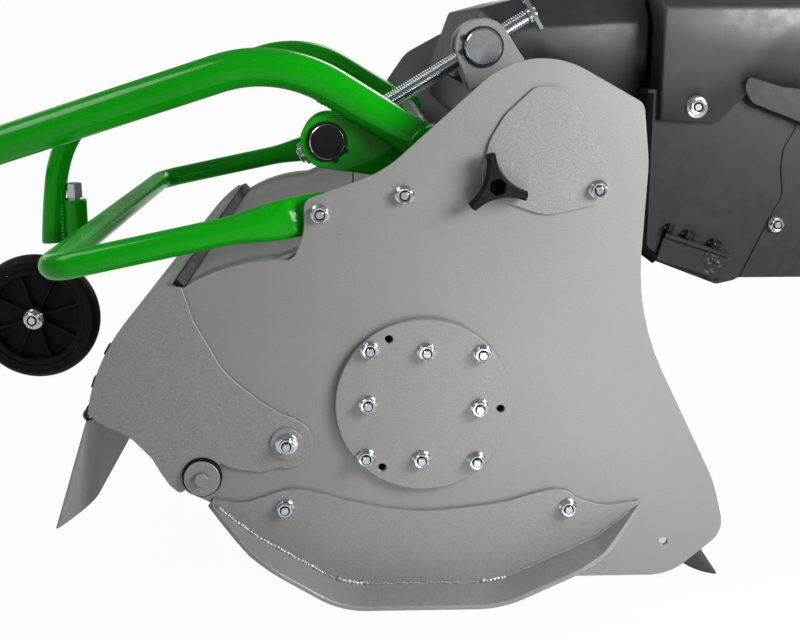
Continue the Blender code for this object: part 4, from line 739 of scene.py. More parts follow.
def build_bearing_flanges():
    """Round flanges: a disc with a turned edge, three jacking holes and eight flange nuts."""
    turn = math.radians(-2.3)
    pitch = 0.058
    for side in BOTH:
        name, out, outer = side_name(side), (0, side, 0), across(side, 0)
        piece = Piece("flange_" + name, "deck", "powder", "hole")
        holes = [circle(arc((0, 0), 0.080, a, a + 1)[0], 0.0042, 20) for a in (117, 237, 357)]
        piece.plate([circle((0, 0), 0.092, 160)] + holes, *span(side, -GAP, -FLANGE_FACE), edge=0.0009)
        # Painted shade: a near black disc at the floor of each jacking hole.
        piece.use("hole")
        for loop in holes:
            piece.turned([(0.0041, 0), (0, 0)], at(loop.mean(axis=0), across(side, -0.0010)), out, around=16)
        piece.use("powder")
        piece.turned([(0.0313, -0.012), (0.0435, -0.012), (0.0435, 0.0006)], (0, outer, 0), out, around=64)
        piece.build(["bearing_flange_" + name], slot="plate_grey")
        nuts = Piece("flange_nuts_" + name, "deck", "zinc", "hole")
        for row in (-1, 0, 1):
            for column in (-1, 0, 1):
                if row == 0 and column == 0:
                    continue
                x = pitch * (column * math.cos(turn) - row * math.sin(turn))
                z = pitch * (column * math.sin(turn) + row * math.cos(turn))
                nuts.nut((x, across(side, -FLANGE_FACE), z), out, turn=0.37 * row + 0.61 * column,
                         tail=0.0035)
        nuts.build(slot="zinc")


def skid_foot():
    """Lower edge of a skid's plate, front tip to rear tip."""
    return rounded([(-0.2240, -0.1055), (-0.178, -0.1435, 0.040), (-0.086, -0.200, 0.090),
                    (0.078, -0.200, 0.110), (0.185, -0.150, 0.060), (0.2305, -0.1125)], 3, closed=False)


def skid_brow():
    """Upper edge of a skid's plate, rear to front: a sagging line with a hump over each nut."""
    return spline([(0.2303, -0.1093), (0.2139, -0.1115), (0.1910, -0.1132), (0.1678, -0.1067),
                   (0.1544, -0.0978), (0.1379, -0.0952), (0.1184, -0.0991), (0.0827, -0.1090),
                   (0.0338, -0.1153), (0.0013, -0.1176), (-0.0313, -0.1151), (-0.0767, -0.1062),
                   (-0.1186, -0.0942), (-0.1378, -0.0916), (-0.1540, -0.0948), (-0.1702, -0.1004),
                   (-0.1929, -0.1060), (-0.2217, -0.1014)])


def build_skids():
    """Skids: a bolted plate, a bent sole that widens from both tips, and the weld between them."""
    foot = resampled(skid_foot(), 160)
    part = np.linspace(0, 1, len(foot))
    reach = np.minimum(1.0, np.minimum(part, 1 - part) / 0.20)
    width = 0.0055 + 0.0550 * np.sin(reach * math.pi / 2)
    square = np.stack([-np.gradient(foot[:, 1]), np.gradient(foot[:, 0])], axis=1)
    under = foot - square / np.linalg.norm(np.gradient(foot, axis=0), axis=1, keepdims=True) * 0.005
    soft = 0.0010
    lift = 0.0010
    for side in BOTH:
        name = side_name(side)
        piece = Piece("skid_look_" + name, "deck", "powder", "weld")
        piece.plate([np.concatenate([foot, skid_brow()])], *span(side, -SKID_FACE, -GAP))
        inner = across(side, -GAP)
        edge = inner + side * width
        rows = np.stack([at(line, y) for line, y in (
            (foot, inner), (foot, edge - side * soft), (foot * 0.8 + under * 0.2, edge),
            (foot * 0.2 + under * 0.8, edge), (under, edge - side * soft), (under, inner))])
        ends = np.repeat(rows.mean(axis=0)[None, [0, -1]], len(rows), axis=0)
        piece.grid(np.concatenate([ends[:, :1], rows, ends[:, 1:]], axis=1), wrap_u=True)
        weld_y = across(side, -0.0062)
        for finish, low, high, size, rise in (
                ("weld", -0.221, -0.100, 0.0019, lift), ("weld", -0.096, -0.056, 0.0032, lift),
                ("weld", 0.058, 0.092, 0.0026, lift), ("powder", -0.105, 0.222, 0.0013, lift * 0.6)):
            piece.use(finish)
            line = foot[(foot[:, 0] > low) & (foot[:, 0] < high)]
            piece.bead(at(line + (0, rise), weld_y), size)
        piece.build(["skid_" + name], slot="plate_grey")
        nuts = Piece("skid_nuts_" + name, "deck", "zinc", "hole")
        for x, z in ((-0.146, -0.112), (0.154, -0.115)):
            nuts.nut((x, across(side, -SKID_FACE), z), (0, side, 0), turn=x * 9)
        nuts.build(slot="zinc")


def build_hoods():
    """Lifting hood with its cheeks, the seal, the main hood behind it, and the wall over the rotor."""
    nose = rounded([(-0.3480, -0.0070, 0.008), (-0.3350, -0.0180, 0.016), (-0.3055, -0.0325, 0.040),
                    (-0.2841, -0.0558, 0.030), (-0.2757, -0.0715, 0.030), (-0.2665, -0.0862, 0.014),
                    (-0.2565, -0.0952, 0.006), (-0.2495, -0.0908)], 6, closed=False)
    neck = rounded([(-0.2120, -0.0620), (-0.2050, -0.0665, 0.012), (-0.1942, -0.0697, 0.030),
                    (-0.170, -0.0727)], 6, closed=False)
    back = rounded([(-0.1330, -0.0150), (-0.1508, -0.0072, 0.030), (-0.1735, 0.0080, 0.050),
                    (-0.206, 0.036, 0.080), (-0.236, 0.092, 0.060), (-0.246, 0.126, 0.004)], 5, closed=False)
    outline = np.concatenate([arc(HOOD_PIVOT, HOOD_ARC, 125.5, 167, 2), nose, arc(STOP, 0.0213, 212, 36, 6),
                              neck, arc(HOOD_PIVOT, 0.0275, 255, 428, 6), back])
    hood = Piece("hood_look", "hood", "powder", "painted")
    for side in BOTH:
        hood.plate([outline, circle(HOOD_PIVOT, 0.0083, 40)], *span(side, -0.0010, -0.0040), edge=0.0006)
    line = np.concatenate([arc(HOOD_PIVOT, HOOD_ARC, 126, 166, 1.5), [(-0.3452, -0.0015)]])
    width = across(1, -0.0012)
    hood.plate([ribbon(line, 0.003)], -width, width, edge=0.0006)
    hood.use("painted")
    for side in BOTH:
        for angle in (150.5, 161.0, 170.0):
            low = arc(HOOD_PIVOT, 0.2062, angle - 1.9, angle + 1.9, 0.8)
            high = arc(HOOD_PIVOT, 0.2098, angle + 1.5, angle - 1.5, 0.8)
            hood.plate([np.concatenate([low, high])], *span(side, -0.0030, 0.0060))
    hood.build(["front_hood"], slot="plate_grey")
    seal = Piece("seal_look", "hood", "rubber", "powder")
    width = across(1, 0.004)
    for finish, under, over in (("rubber", (0.2047, 123.6, 121.9), (0.1951, 121.2, 123.2)),
                                ("powder", (0.2060, 127.4, 123.2), (0.2035, 123.4, 127.4))):
        seal.use(finish)
        loop = np.concatenate([arc(HOOD_PIVOT, *under, 0.6), arc(HOOD_PIVOT, *over, 0.6)])
        seal.plate([loop], -width, width)
    seal.build(["hood_seal"], slot="rubber")
    main = Piece("main_hood_look", "deck", "powder")
    visor = arc(HOOD_PIVOT, VISOR_ARC, 122, 92, 1.5)
    last = arc((0, 0), DECK_ARC, 113, 114)[0]
    start = (visor[0][0] + 0.004, visor[0][1] - 0.016)
    tail = rounded([tuple(visor[-1]), (-0.118, 0.166, 0.040), tuple(last)], 5, closed=False)[1:]
    width = across(1, SHEET_INSET)
    main.plate([ribbon(np.concatenate([[start], visor, tail]), -0.003)], -width, width)
    main.build(["main_hood"], slot="plate_grey")
    wall = Piece("rear_wall_look", "deck", "powder")
    over = arc((0, 0), DECK_ARC, 112, 36, 2)
    tail = rounded([tuple(over[-1]), (0.236, -0.020, 0.120), (0.262, -0.110, 0.060), (0.266, -0.138)],
                   4, closed=False)
    wall.plate([ribbon(np.concatenate([over, tail[1:]]), 0.003)], across(-1, 0.0623), width)
    wall.build(["rear_wall"], slot="plate_grey")


def build_flaps():
    """Front flap, a sheet that leans out more towards both ends, and rear flap, a bowed sheet.

    Each is rolled round its rod.
    """
    front = Piece("front_flap_look", "front_flap", "powder", "zinc")
    y = np.linspace(-HALF, HALF, 97)[:, None]
    s = np.linspace(0, 1, 22)[None, :]
    flare = np.clip((np.abs(y) - HALF + 0.098) / 0.098, 0, 1) ** 1.5
    x = FLAP_HINGE[0] - 0.003 - (0.016 + 0.023 * flare) * s
    z = FLAP_HINGE[1] - 0.004 - 0.121 * s + 0 * y
    near, off = np.stack([x, y + 0 * s, z], axis=-1), np.array([0.0025, 0, 0])
    loops = np.concatenate([near, (near + off)[:, ::-1]], axis=1)
    flat = np.concatenate([near + off / 2, (near + off / 2)[:, ::-1]], axis=1)
    front.grid(np.concatenate([flat[:1], loops, flat[-1:]]), wrap_v=True)
    hinge, end = at(FLAP_HINGE, 0), HALF + 0.0006
    front.drum(0.0034, 0.0068, -HALF, HALF, hinge, around=32)
    front.use("zinc")
    front.drum(0, 0.0032, -end, end, hinge, around=28, chamfer=0.0004)
    front.use("powder")
    front.drum(0.0034, 0.0052, -HALF, HALF, hinge, around=28)
    front.build(["front_flap"], slot="plate_grey")
    rear = Piece("rear_flap_look", "rear_flap", "painted", "zinc")
    half, end = HALF - 0.007, HALF - 0.003
    line = bowed((REAR_ROD[0] + 0.004, REAR_ROD[1] - 0.003), (0.322, -0.198), -0.008)
    rear.plate([ribbon(line, -0.0025)], -half, half)
    rear.drum(0.0046, 0.0085, -half, half, at(REAR_ROD, 0), around=32)
    rear.use("zinc")
    rear.drum(0, 0.0045, -end, end, at(REAR_ROD, 0), around=24)
    rear.build(["rear_flap"], slot="black_steel")


def build_access_cover():
    """Pear shaped cover plate, slotted for the knob's stud."""
    outline = rounded([(0.0652, 0.2290), (0.0652, 0.2175), (0.0590, 0.2205, 0.004), (0.0575, 0.240, 0.030),
                       (0.0640, 0.2720, 0.050), (0.0800, 0.2990, 0.050), (0.1100, 0.3262, 0.012),
                       (0.1325, 0.3266, 0.010), (0.1499, 0.3082, 0.050), (0.1750, 0.2735, 0.060),
                       (0.1885, 0.2300, 0.012), (0.1770, 0.2082, 0.014), (0.1533, 0.2036, 0.040),
                       (0.1226, 0.1966, 0.060), (0.0768, 0.2128), (0.0768, 0.2290)], 4, closed=False)
    notch = arc(KNOB, 0.0058, 0, 180, 12)
    cover = Piece("cover_look", "cover", "powder")
    cover.plate([np.concatenate([outline, notch[1:-1]]), circle(COVER_PIVOT, 0.0063, 32)],
                *span(-1, -GAP, -GAP - 0.003), edge=0.0007)
    cover.build(["access_cover"], slot="plate_grey")


def knob_outline():
    """Three lobes with nearly flat ends and eased corners, joined by hollow arcs.

    A hollow arc's centre stands so far out that the arc passes its low point and two lobes' ends.
    """
    reach, low, half = 0.0331, 0.0128, math.radians(9)
    flank = math.radians(60) - half
    far = (reach ** 2 - low ** 2) / (2 * (reach * math.cos(flank) - low))
    radius = far - low
    swing = math.degrees(math.asin(reach * math.sin(flank) / radius))
    ease = math.degrees(0.0020 / radius)
    parts = []
    for i in range(3):
        lobe = math.radians(101 + 120 * i)
        ends = [reach * np.array([math.cos(lobe + s * half), math.sin(lobe + s * half)]) for s in (-1, 1)]
        face = (ends[1] - ends[0]) / np.linalg.norm(ends[1] - ends[0])
        tip = np.array([math.cos(lobe), math.sin(lobe)]) * (reach * math.cos(half) + 0.0007)
        valleys = []
        for turn in (lobe - math.radians(60), lobe + math.radians(60)):
            centre = far * np.array([math.cos(turn), math.sin(turn)])
            toward = math.degrees(turn) + 180
            valleys.append(arc(centre, radius, toward + swing - ease, toward - swing + ease, 3))
        parts += [bend(valleys[0][-1], ends[0], ends[0] + 0.0018 * face), tip[None],
                  bend(ends[1] - 0.0018 * face, ends[1], valleys[1][0]), valleys[1][1:-1]]
    return np.concatenate(parts)


def build_star_knob():
    """Star knob: its outline drawn in towards the face, with a hexagonal recess in the middle."""
    knob = Piece("knob_look", "knob", "rubber", "hole")
    outline = knob_outline()
    base = across(-1, -0.0096)
    angle = np.arctan2(outline[:, 1], outline[:, 0])
    away = np.stack([np.cos(angle), np.sin(angle)], axis=1)
    hexagon = away * (0.0077 / np.cos((angle - 0.35) % (TAU / 6) - TAU / 12))[:, None]
    face = [(outline * 0, 0.0), (inset(outline, 0.0006), 0.0), (outline, 0.0006),
            (inset(outline, 0.0013), 0.0132), (inset(outline, 0.0017), 0.0144),
            (inset(outline, 0.0025), 0.0150), (hexagon * 1.09, 0.0150), (hexagon, 0.0145)]
    well = [(hexagon, 0.0145), (hexagon, 0.0060), (hexagon * 0, 0.0060)]
    knob.grid(np.stack([at(loop + KNOB, base - height) for loop, height in face]), wrap_v=True)
    knob.turned([(0.0053, 0.0058), (0.0120, 0.0058), (0.0126, 0.0050), (0.0126, -0.001)], at(KNOB, base))
    # Painted shade: the hexagonal recess's walls and floor are near black.
    knob.use("hole")
    knob.grid(np.stack([at(loop + KNOB, base - height) for loop, height in well]), wrap_v=True)
    knob.build(["star_knob"], slot="black_plastic")


def build_guard_bar():
    """Bent tube; each end is pressed flat and creased where it is bolted behind the side plate."""
    y = across(-1, SHEET_INSET + GUARD_TUBE)
    slope = (GUARD_BOLT[1] - GUARD_CORNER[1]) / (GUARD_BOLT[0] - GUARD_CORNER[0])

    def height(x):
        return GUARD_BOLT[1] + slope * (x - GUARD_BOLT[0])

    def creased(p):
        lean = np.exp(-((p[:, 0] + 0.131) / 0.022) ** 2)
        return p - np.stack([0.2 * lean * (p[:, 2] - height(p[:, 0])), 0 * lean, 0 * lean], axis=1)

    back, corner = (-0.206, height(-0.206)), GUARD_CORNER
    path = rounded([(*at(back, y), 0), (*at(corner, y), 0.030), (*at(corner, -y), 0.030),
                    (*at(back, -y), 0)], 5, closed=False)
    bar = Piece("guard_look", "deck", "green")
    x = np.linspace(back[0], -0.0840, 60)
    press = np.clip((x - back[0]) / 0.060, 0, 1)
    press = press * press * (3 - 2 * press)
    fold = np.clip((x + 0.1345) / 0.012, 0, 1)
    end = np.sqrt(np.clip(1 - np.clip((x + 0.100) / 0.0162, 0, 1) ** 2, 0.0004, 1))
    tall = (GUARD_TUBE + 0.0052 * press) * end
    thin = GUARD_TUBE - 0.0035 * press - 0.0075 * fold
    offset = SHEET_INSET + 0.0065 * fold + thin
    for side in BOTH:
        mark = len(bar.points)
        bar.tube(np.stack([x, side * (HALF - offset), height(x)], axis=1), thin, flat=tall)
        bar.moved(mark, creased)
    bar.tube(path, GUARD_TUBE, caps=False)
    bar.build(["guard_bar"], slot="green")


def inboard_of(x):
    """Distance of an arm from the side plate's face; the arms draw in towards the front."""
    return 0.047 + 0.114 * max(0.0, 0.102 - x)


def on_arm(point, side):
    """A point of the side view on one arm's centre line."""
    return at(point, across(side, inboard_of(point[0])))


def build_arm_frame():
    """Arms with their front bow, cross tube, bent leg, swivel sleeve and gusset, and their welds."""
    front = (ARM_END_X, APEX[1] + ARM_FALL * (ARM_END_X - APEX[0]))
    corners = []
    for side in BOTH:
        run = [(*on_arm(point, side), radius)
               for point, radius in ((ARM_PIVOT, 0), (APEX, 0.150), (front, 0.090))]
        corners += run if side < 0 else run[::-1]
    arms = Piece("arms_look", "arms", "green")
    arms.tube(rounded(corners, 3, closed=False), radius=0.020, around=56)
    cross = (CROSS_X, APEX[1] - ARM_FALL * (APEX[0] - CROSS_X))
    leg = spline([(-0.4722, 0.1043), (-0.4722, 0.1100), (-0.4700, 0.135), (-0.4662, 0.168), (-0.4606, 0.200),
                  (-0.4512, 0.228), (-0.4370, 0.252), (-0.4200, 0.268), (-0.4040, 0.275)])
    arms.tube(at(leg, 0.0), radius=0.0145, reference=(0, 1, 0))
    reach = across(1, inboard_of(CROSS_X))
    arms.tube([at(cross, -reach), at(cross, reach)], radius=0.016, reference=(1, 0, 0))
    arms.drum(0.0083, 0.0150, SLEEVE_LOW, SLEEVE_HIGH, (SLEEVE_X, 0, 0), (0, 0, 1), chamfer=0.0006)
    angle = np.linspace(0, TAU, 40)
    collar = cross + 0.0165 * np.stack([np.cos(angle), np.sin(angle)], axis=1)
    web = np.stack([np.full(12, -0.4565), np.linspace(SLEEVE_LOW + 0.003, SLEEVE_HIGH - 0.002, 12)], axis=1)
    for sense in BOTH:
        arms.bead(at(web, sense * 0.0068), radius=0.0034, direction=(1, 0, 0))
        arms.bead(at(collar, sense * (reach - 0.0190)), radius=0.0022, direction=(0, 1, 0.02))
        arms.drum(0.0153, 0.0240, -0.022, 0.022, on_arm(ARM_PIVOT, sense), chamfer=0.0005)
    x, z = LOWER
    slope = rounded([(x + 0.030, z + 0.0270), (x + 0.075, z + 0.006), (x + 0.104, z - 0.010),
                     (x + 0.092, z - 0.0215, 0.006), (x + 0.060, z - 0.0300, 0.008),
                     (x + 0.048, z - 0.0355, 0.004), (x + 0.030, z - 0.0328)], 8, closed=False)
    outline = np.concatenate([arc((x, z), 0.0284, 262, 92, 4), slope])
    y = across(-1, SCREW_Y)
    for sense in BOTH:
        arms.plate([outline, circle(LOWER, EAR_BORE, 64)], *beside(y, sense, *EARS), edge=0.0010)
    spacer = (x + 0.052, z - 0.014)
    arms.tube([at(spacer, y - 0.0285), at(spacer, y + 0.0285)], radius=0.008, reference=(1, 0, 0))
    lean = (ARM_PIVOT[1] - APEX[1]) / (ARM_PIVOT[0] - APEX[0])
    seam = np.linspace(-0.128, -0.044, 14)
    seam = np.stack([seam, APEX[1] + lean * (seam - APEX[0]) - 0.0215], axis=1)
    arms.bead(at(seam, y - 0.0325), radius=0.0024)
    arms.build(["arm_frame"], slot="green")


def trunnion(name, point, body, key, slot):
    """Cross pin with a chamfered face and a dark retaining ring whose two ears are drilled."""
    y = across(-1, SCREW_Y)
    pin = Piece(name + "_look", body, key, "zinc", "painted")
    middle = at(point, y)
    reach = 0.0380
    r = np.linspace(0, 0.0174, 60)
    face = np.stack([r, reach - 0.00004 * np.sin(r * 5200)], axis=1)
    edge = [(0.0174, reach), (0.0186, 0.0372)]
    flank = [(0.0186, 0.0372), (0.0192, 0.0360), (0.0192, 0.0330), (0.0200, 0.0320), (0.0200, 0.0100)]
    for sense in BOTH:
        for finish, profile in ((key, face), ("zinc", edge), (key, flank)):
            pin.use(finish)
            pin.turned(profile, middle, (0, sense, 0), around=72)
    pin.turned([(0.0200, -0.0320), (0.0200, 0.0320)], middle, around=72)
    pin.use("painted")
    gap = math.radians(315 if name == "lower" else 174)
    a = gap + np.linspace(0.34, TAU - 0.34, 90)
    away = np.stack([np.cos(a), np.sin(a)], axis=1)
    outer = (0.0198 + (0.0012 - 0.0004 * np.cos(a - gap)))[:, None]
    for sense in BOTH:
        inside, outside = RING
        rows = [at(point + radius * away, y + sense * off) for radius, off in (
            (0.0190, inside), (outer, inside), (outer, outside), (0.0190, outside))]
        pin.grid(np.stack(rows), wrap_u=True)
        for end in (a[0], a[-1]):
            ear = (point[0] + 0.0216 * math.cos(end), point[1] + 0.0216 * math.sin(end))
            pin.plate([circle(ear, 0.0030, 24), circle(ear, 0.0011, 12)],
                      *beside(y, sense, *RING), edge=0.0002)
    pin.build([name + "_trunnion"], slot=slot)


def build_height_screw():
    """Both trunnions, the threaded spindle with its collars and crank plate, and the bracket's ears."""
    trunnion("lower", LOWER, "lower_trunnion", "rubber", "black_steel")
    trunnion("upper", UPPER, "upper_trunnion", "zinc", "zinc")
    y = across(-1, SCREW_Y)
    low, high = at(LOWER, y), at(UPPER, y)
    way = (high - low) / np.linalg.norm(high - low)
    length = float(np.linalg.norm(high - low))
    pitch = bpy.context.scene.mower_sizes.screw_thread
    screw = Piece("screw_look", "screw", "zinc")

    def thread(radius, along, angle):
        saw = (along / pitch - angle / TAU) % 1.0
        depth = 0.0017 * np.clip(np.abs(2 * saw - 1) * 1.5 - 0.20, 0, 1)
        return np.where(radius > 0.0089, radius - depth, radius)

    start, end = -0.036, length + 0.058
    stem = np.arange(start + 0.002, end, pitch / 10)[:, None]
    rows = [[(0, start), (0.0068, start), (0.0090, start + 0.0012)], np.hstack([0 * stem + 0.0090, stem]),
            [(0.0070, end - 0.0002), (0, end)]]
    screw.turned(np.concatenate(rows), low, way, around=40, shape=thread)
    for sense in BOTH:
        screw.turned([(0.0070, 0.0216), (0.0120, 0.0216), (0.0125, 0.0221), (0.0125, 0.0311),
                      (0.0120, 0.0316), (0.0070, 0.0316)], low, way * sense, around=40)
    screw.build(["height_screw"], slot="zinc")
    crank = Piece("crank_look", "crank", "zinc")
    tip = high + way * 0.058
    crank.turned([(0, 0.0003), (0.0088, 0.0003), (0.0088, 0.0060), (0.0072, 0.0098), (0.0060, 0.0106),
                  (0, 0.0106)], tip, way, around=48)
    mark = len(crank.points)
    loop = rounded([(-0.0185, -0.009, 0.003), (0.0265, -0.009, 0.003), (0.0265, 0.009, 0.003),
                    (-0.0185, 0.009, 0.003)], 15)
    crank.plate([loop, circle((0.0185, 0), 0.0032, 20)], 0.004, 0.009)
    up = np.array([-way[2], 0.0, way[0]])

    def place(points):
        return tip + points[:, :1] * up + points[:, 1:2] * way + points[:, 2:] * np.array([0.0, 1.0, 0.0])

    crank.moved(mark, place)
    crank.build(["screw_crank"], slot="zinc")
    x = UPPER[0]
    under = BRACKET_FLOOR - 0.023
    bracket = Piece("bracket_look", "deck", "powder")
    outline = np.concatenate([[(x - 0.0050, under)], arc(UPPER, 0.029, 200, 34, 4),
                              [(x + 0.0610, BRACKET_FLOOR), (x + 0.0740, under)]])
    for sense in BOTH:
        bracket.plate([outline, circle(UPPER, EAR_BORE, 64)], *beside(y, sense, *EARS), edge=0.0010)
    bracket.slab((x - 0.002, y - 0.0310, BRACKET_FLOOR), (x + 0.058, y + 0.0310, BRACKET_FLOOR + 0.006))
    bracket.build(["screw_bracket"], slot="plate_grey")


def build_castor():
    """Castor with its fork on one side of the spoked wheel, and the tyre."""
    y = -0.040
    fork = Piece("fork_look", "castor", "zinc", "hole")
    fork.turned([(0, SLEEVE_LOW - 0.010), (0.008, SLEEVE_LOW - 0.010), (0.008, SLEEVE_HIGH + 0.004)],
                (SLEEVE_X, 0, 0), (0, 0, 1), around=32)
    fork.nut((SLEEVE_X, 0, SLEEVE_HIGH + GAP), (0, 0, 1), width=0.0190, height=0.0215, washer=0.0118,
             tail=None, turn=0.25)
    top = SLEEVE_LOW - GAP
    fork.slab((SLEEVE_X - 0.013, -0.019, top - 0.014), (SLEEVE_X + 0.013, 0.012, top), edge=0.0012)
    x, z = WHEEL
    outline = rounded([(SLEEVE_X + 0.013, top, 0.003), (SLEEVE_X - 0.020, top, 0.006),
                       (x - 0.013, z + 0.010, 0.010), (x - 0.010, z - 0.013, 0.010),
                       (x + 0.014, z - 0.010, 0.010), (SLEEVE_X + 0.013, top - 0.022, 0.012)], 6)
    fork.plate([outline], -0.019, -0.011, edge=0.0008)
    out = y - 0.020
    near = (0, -1, 0)
    fork.turned([(0.006, -0.045), (0.006, 0.0)], at(WHEEL, out), near, around=24)
    fork.turned([(0.003, 0.0), (0.0118, 0.0), (0.0124, 0.0006), (0.0124, 0.0012), (0.003, 0.0012)],
                at(WHEEL, out), near, around=40)
    fork.nut(at(WHEEL, out - 0.0012), near, width=0.0190, height=0.0100, washer=0.0130, bolt=0.0052,
             tail=0.0008)
    fork.build(["castor_fork"], slot="zinc")
    rim = Piece("rim_look", "wheel", "rubber")
    centre = at(WHEEL, y)
    rim.turned([(0.0063, -0.019), (0.0135, -0.019), (0.0145, -0.018), (0.0152, -0.009), (0.0152, 0.009),
                (0.0145, 0.018), (0.0135, 0.019), (0.0063, 0.019)], centre, ring=True)
    rim.turned([(0.0640, -0.013), (0.0640, 0.013), (0.0585, 0.0132), (0.0572, 0.0122), (0.0552, 0.0035),
                (0.0552, -0.0035), (0.0572, -0.0122), (0.0585, -0.0132)], centre, around=96, ring=True)
    rim.drum(0.014, 0.059, -0.0014, 0.0014, centre, around=64)
    spoke = np.array([(0.014, -0.0018), (0.058, -0.0012), (0.058, 0.0012), (0.014, 0.0018)])
    spokes = 8
    for i in range(spokes):
        mark = len(rim.points)
        rim.plate([spoke], -0.0095, 0.0095, edge=0.0004)
        turn = TAU * (i + 0.63) / spokes
        c, s = math.cos(turn), math.sin(turn)
        rim.moved(mark, lambda p: centre + np.stack(
            [c * p[:, 0] + s * p[:, 2], p[:, 1], c * p[:, 2] - s * p[:, 0]], axis=1))
    rim.build(["wheel_rim"], slot="black_plastic")
    tyre = Piece("tyre_look", "wheel", "rubber")
    shoulder = math.radians(64)
    a = np.linspace(-shoulder, shoulder, 25)
    crown = np.stack([0.0640 + 0.0180 * np.cos(a) ** 0.7, 0.0160 * np.sin(a) / math.sin(shoulder)], axis=1)
    profile = [[(0.0643, -0.0130), (0.0652, -0.0148)], crown, [(0.0652, 0.0148), (0.0643, 0.0130)]]
    tyre.turned(np.concatenate(profile), centre, around=128, ring=True)
    tyre.build(["tyre"], slot="rubber")


def moulded_shell(name, node, outline, half, floor, square, chamfer, soft):
    """Moulded cover: a prism with chamfered sides, softened, open below, with a wall's thickness.

    The face at x = square keeps its plain edges, and so does everything at the floor's level.
    """
    shell = Piece(name, "deck", "moulded")
    shell.plate([outline], -half, half, edge=0.0)
    obj = shell.build([node], slot="black_plastic")
    near = 1e-5
    bm = bmesh.new()
    bm.from_mesh(obj.data)
    bmesh.ops.remove_doubles(bm, verts=bm.verts, dist=near)
    bmesh.ops.dissolve_limit(bm, angle_limit=math.radians(1.5), verts=bm.verts, edges=bm.edges)
    level = floor + AXIS[2] + near
    sides = [e for e in bm.edges if max(v.co.z for v in e.verts) > level
             and abs(e.verts[0].co.y - e.verts[1].co.y) < half
             and max(abs(v.co.x - AXIS[0] - square) for v in e.verts) > 0.001]
    bmesh.ops.bevel(bm, geom=sides, offset=chamfer, segments=1, profile=0.5, affect="EDGES")
    bmesh.ops.remove_doubles(bm, verts=bm.verts, dist=near)
    edges = [e for e in bm.edges if max(v.co.z for v in e.verts) > level and e.calc_face_angle(0) > 0.3]
    bmesh.ops.bevel(bm, geom=edges, offset=soft, segments=4, profile=0.5, affect="EDGES", clamp_overlap=True)
    under = [f for f in bm.faces if max(v.co.z for v in f.verts) <= level]
    bmesh.ops.delete(bm, geom=under, context="FACES")
    bm.to_mesh(obj.data)
    bm.free()
    obj.data.shade_smooth()
    obj.data.set_sharp_from_angle(angle=math.radians(30))
    wall = obj.modifiers.new("wall", "SOLIDIFY")
    wall.thickness = 0.004
    wall.offset = -1


def build_covers():
    """Drive housing, rear cover, its bolt, and the curved side guard."""
    base = UPPER[1] - 0.034
    outline = np.array([(0.041, base), (0.150, base), (0.190, 0.300), (0.2535, 0.300), (0.2535, 0.4235),
                        (0.118, 0.4165), (0.069, 0.4035)])
    moulded_shell("housing_look", "drive_housing", outline, across(1, 0.143), floor=base, square=0.2535,
                  chamfer=0.034, soft=0.0035)
    half = across(1, 0.097)
    outline = np.array([(0.2575, 0.2855), (0.3215, 0.2830), (0.3540, 0.3165), (0.432, 0.3165),
                        (0.432, 0.425), (0.2575, 0.425)])
    moulded_shell("rear_cover_look", "rear_cover", outline, half, floor=0.3170, square=0.2575,
                  chamfer=0.022, soft=0.0040)
    bolts = Piece("cover_bolts", "deck", "zinc", "hole")
    bolts.nut((0.2975, -half, 0.2996), (0, -1, 0), height=0.0080, washer=0.0120, tail=0.0004, turn=0.2)
    bolts.build(slot="zinc")
    guard = Piece("side_guard_look", "deck", "painted")
    y = across(-1, 0.095)
    loop = rounded([(0.3500, 0.3322, 0.005), (0.3870, 0.3211, 0.040), (0.428, 0.3165), (0.428, 0.2760),
                    (0.3560, 0.3033, 0.014), (0.3462, 0.3180, 0.012)], 6)
    guard.plate([loop], y - 0.004, y - 0.0005, edge=0.0007)
    guard.turned([(0.008, -0.0015), (0.008, 0.0017)], (0.392, y, 0.309), around=32)
    guard.build(["side_guard"], slot="black_steel")


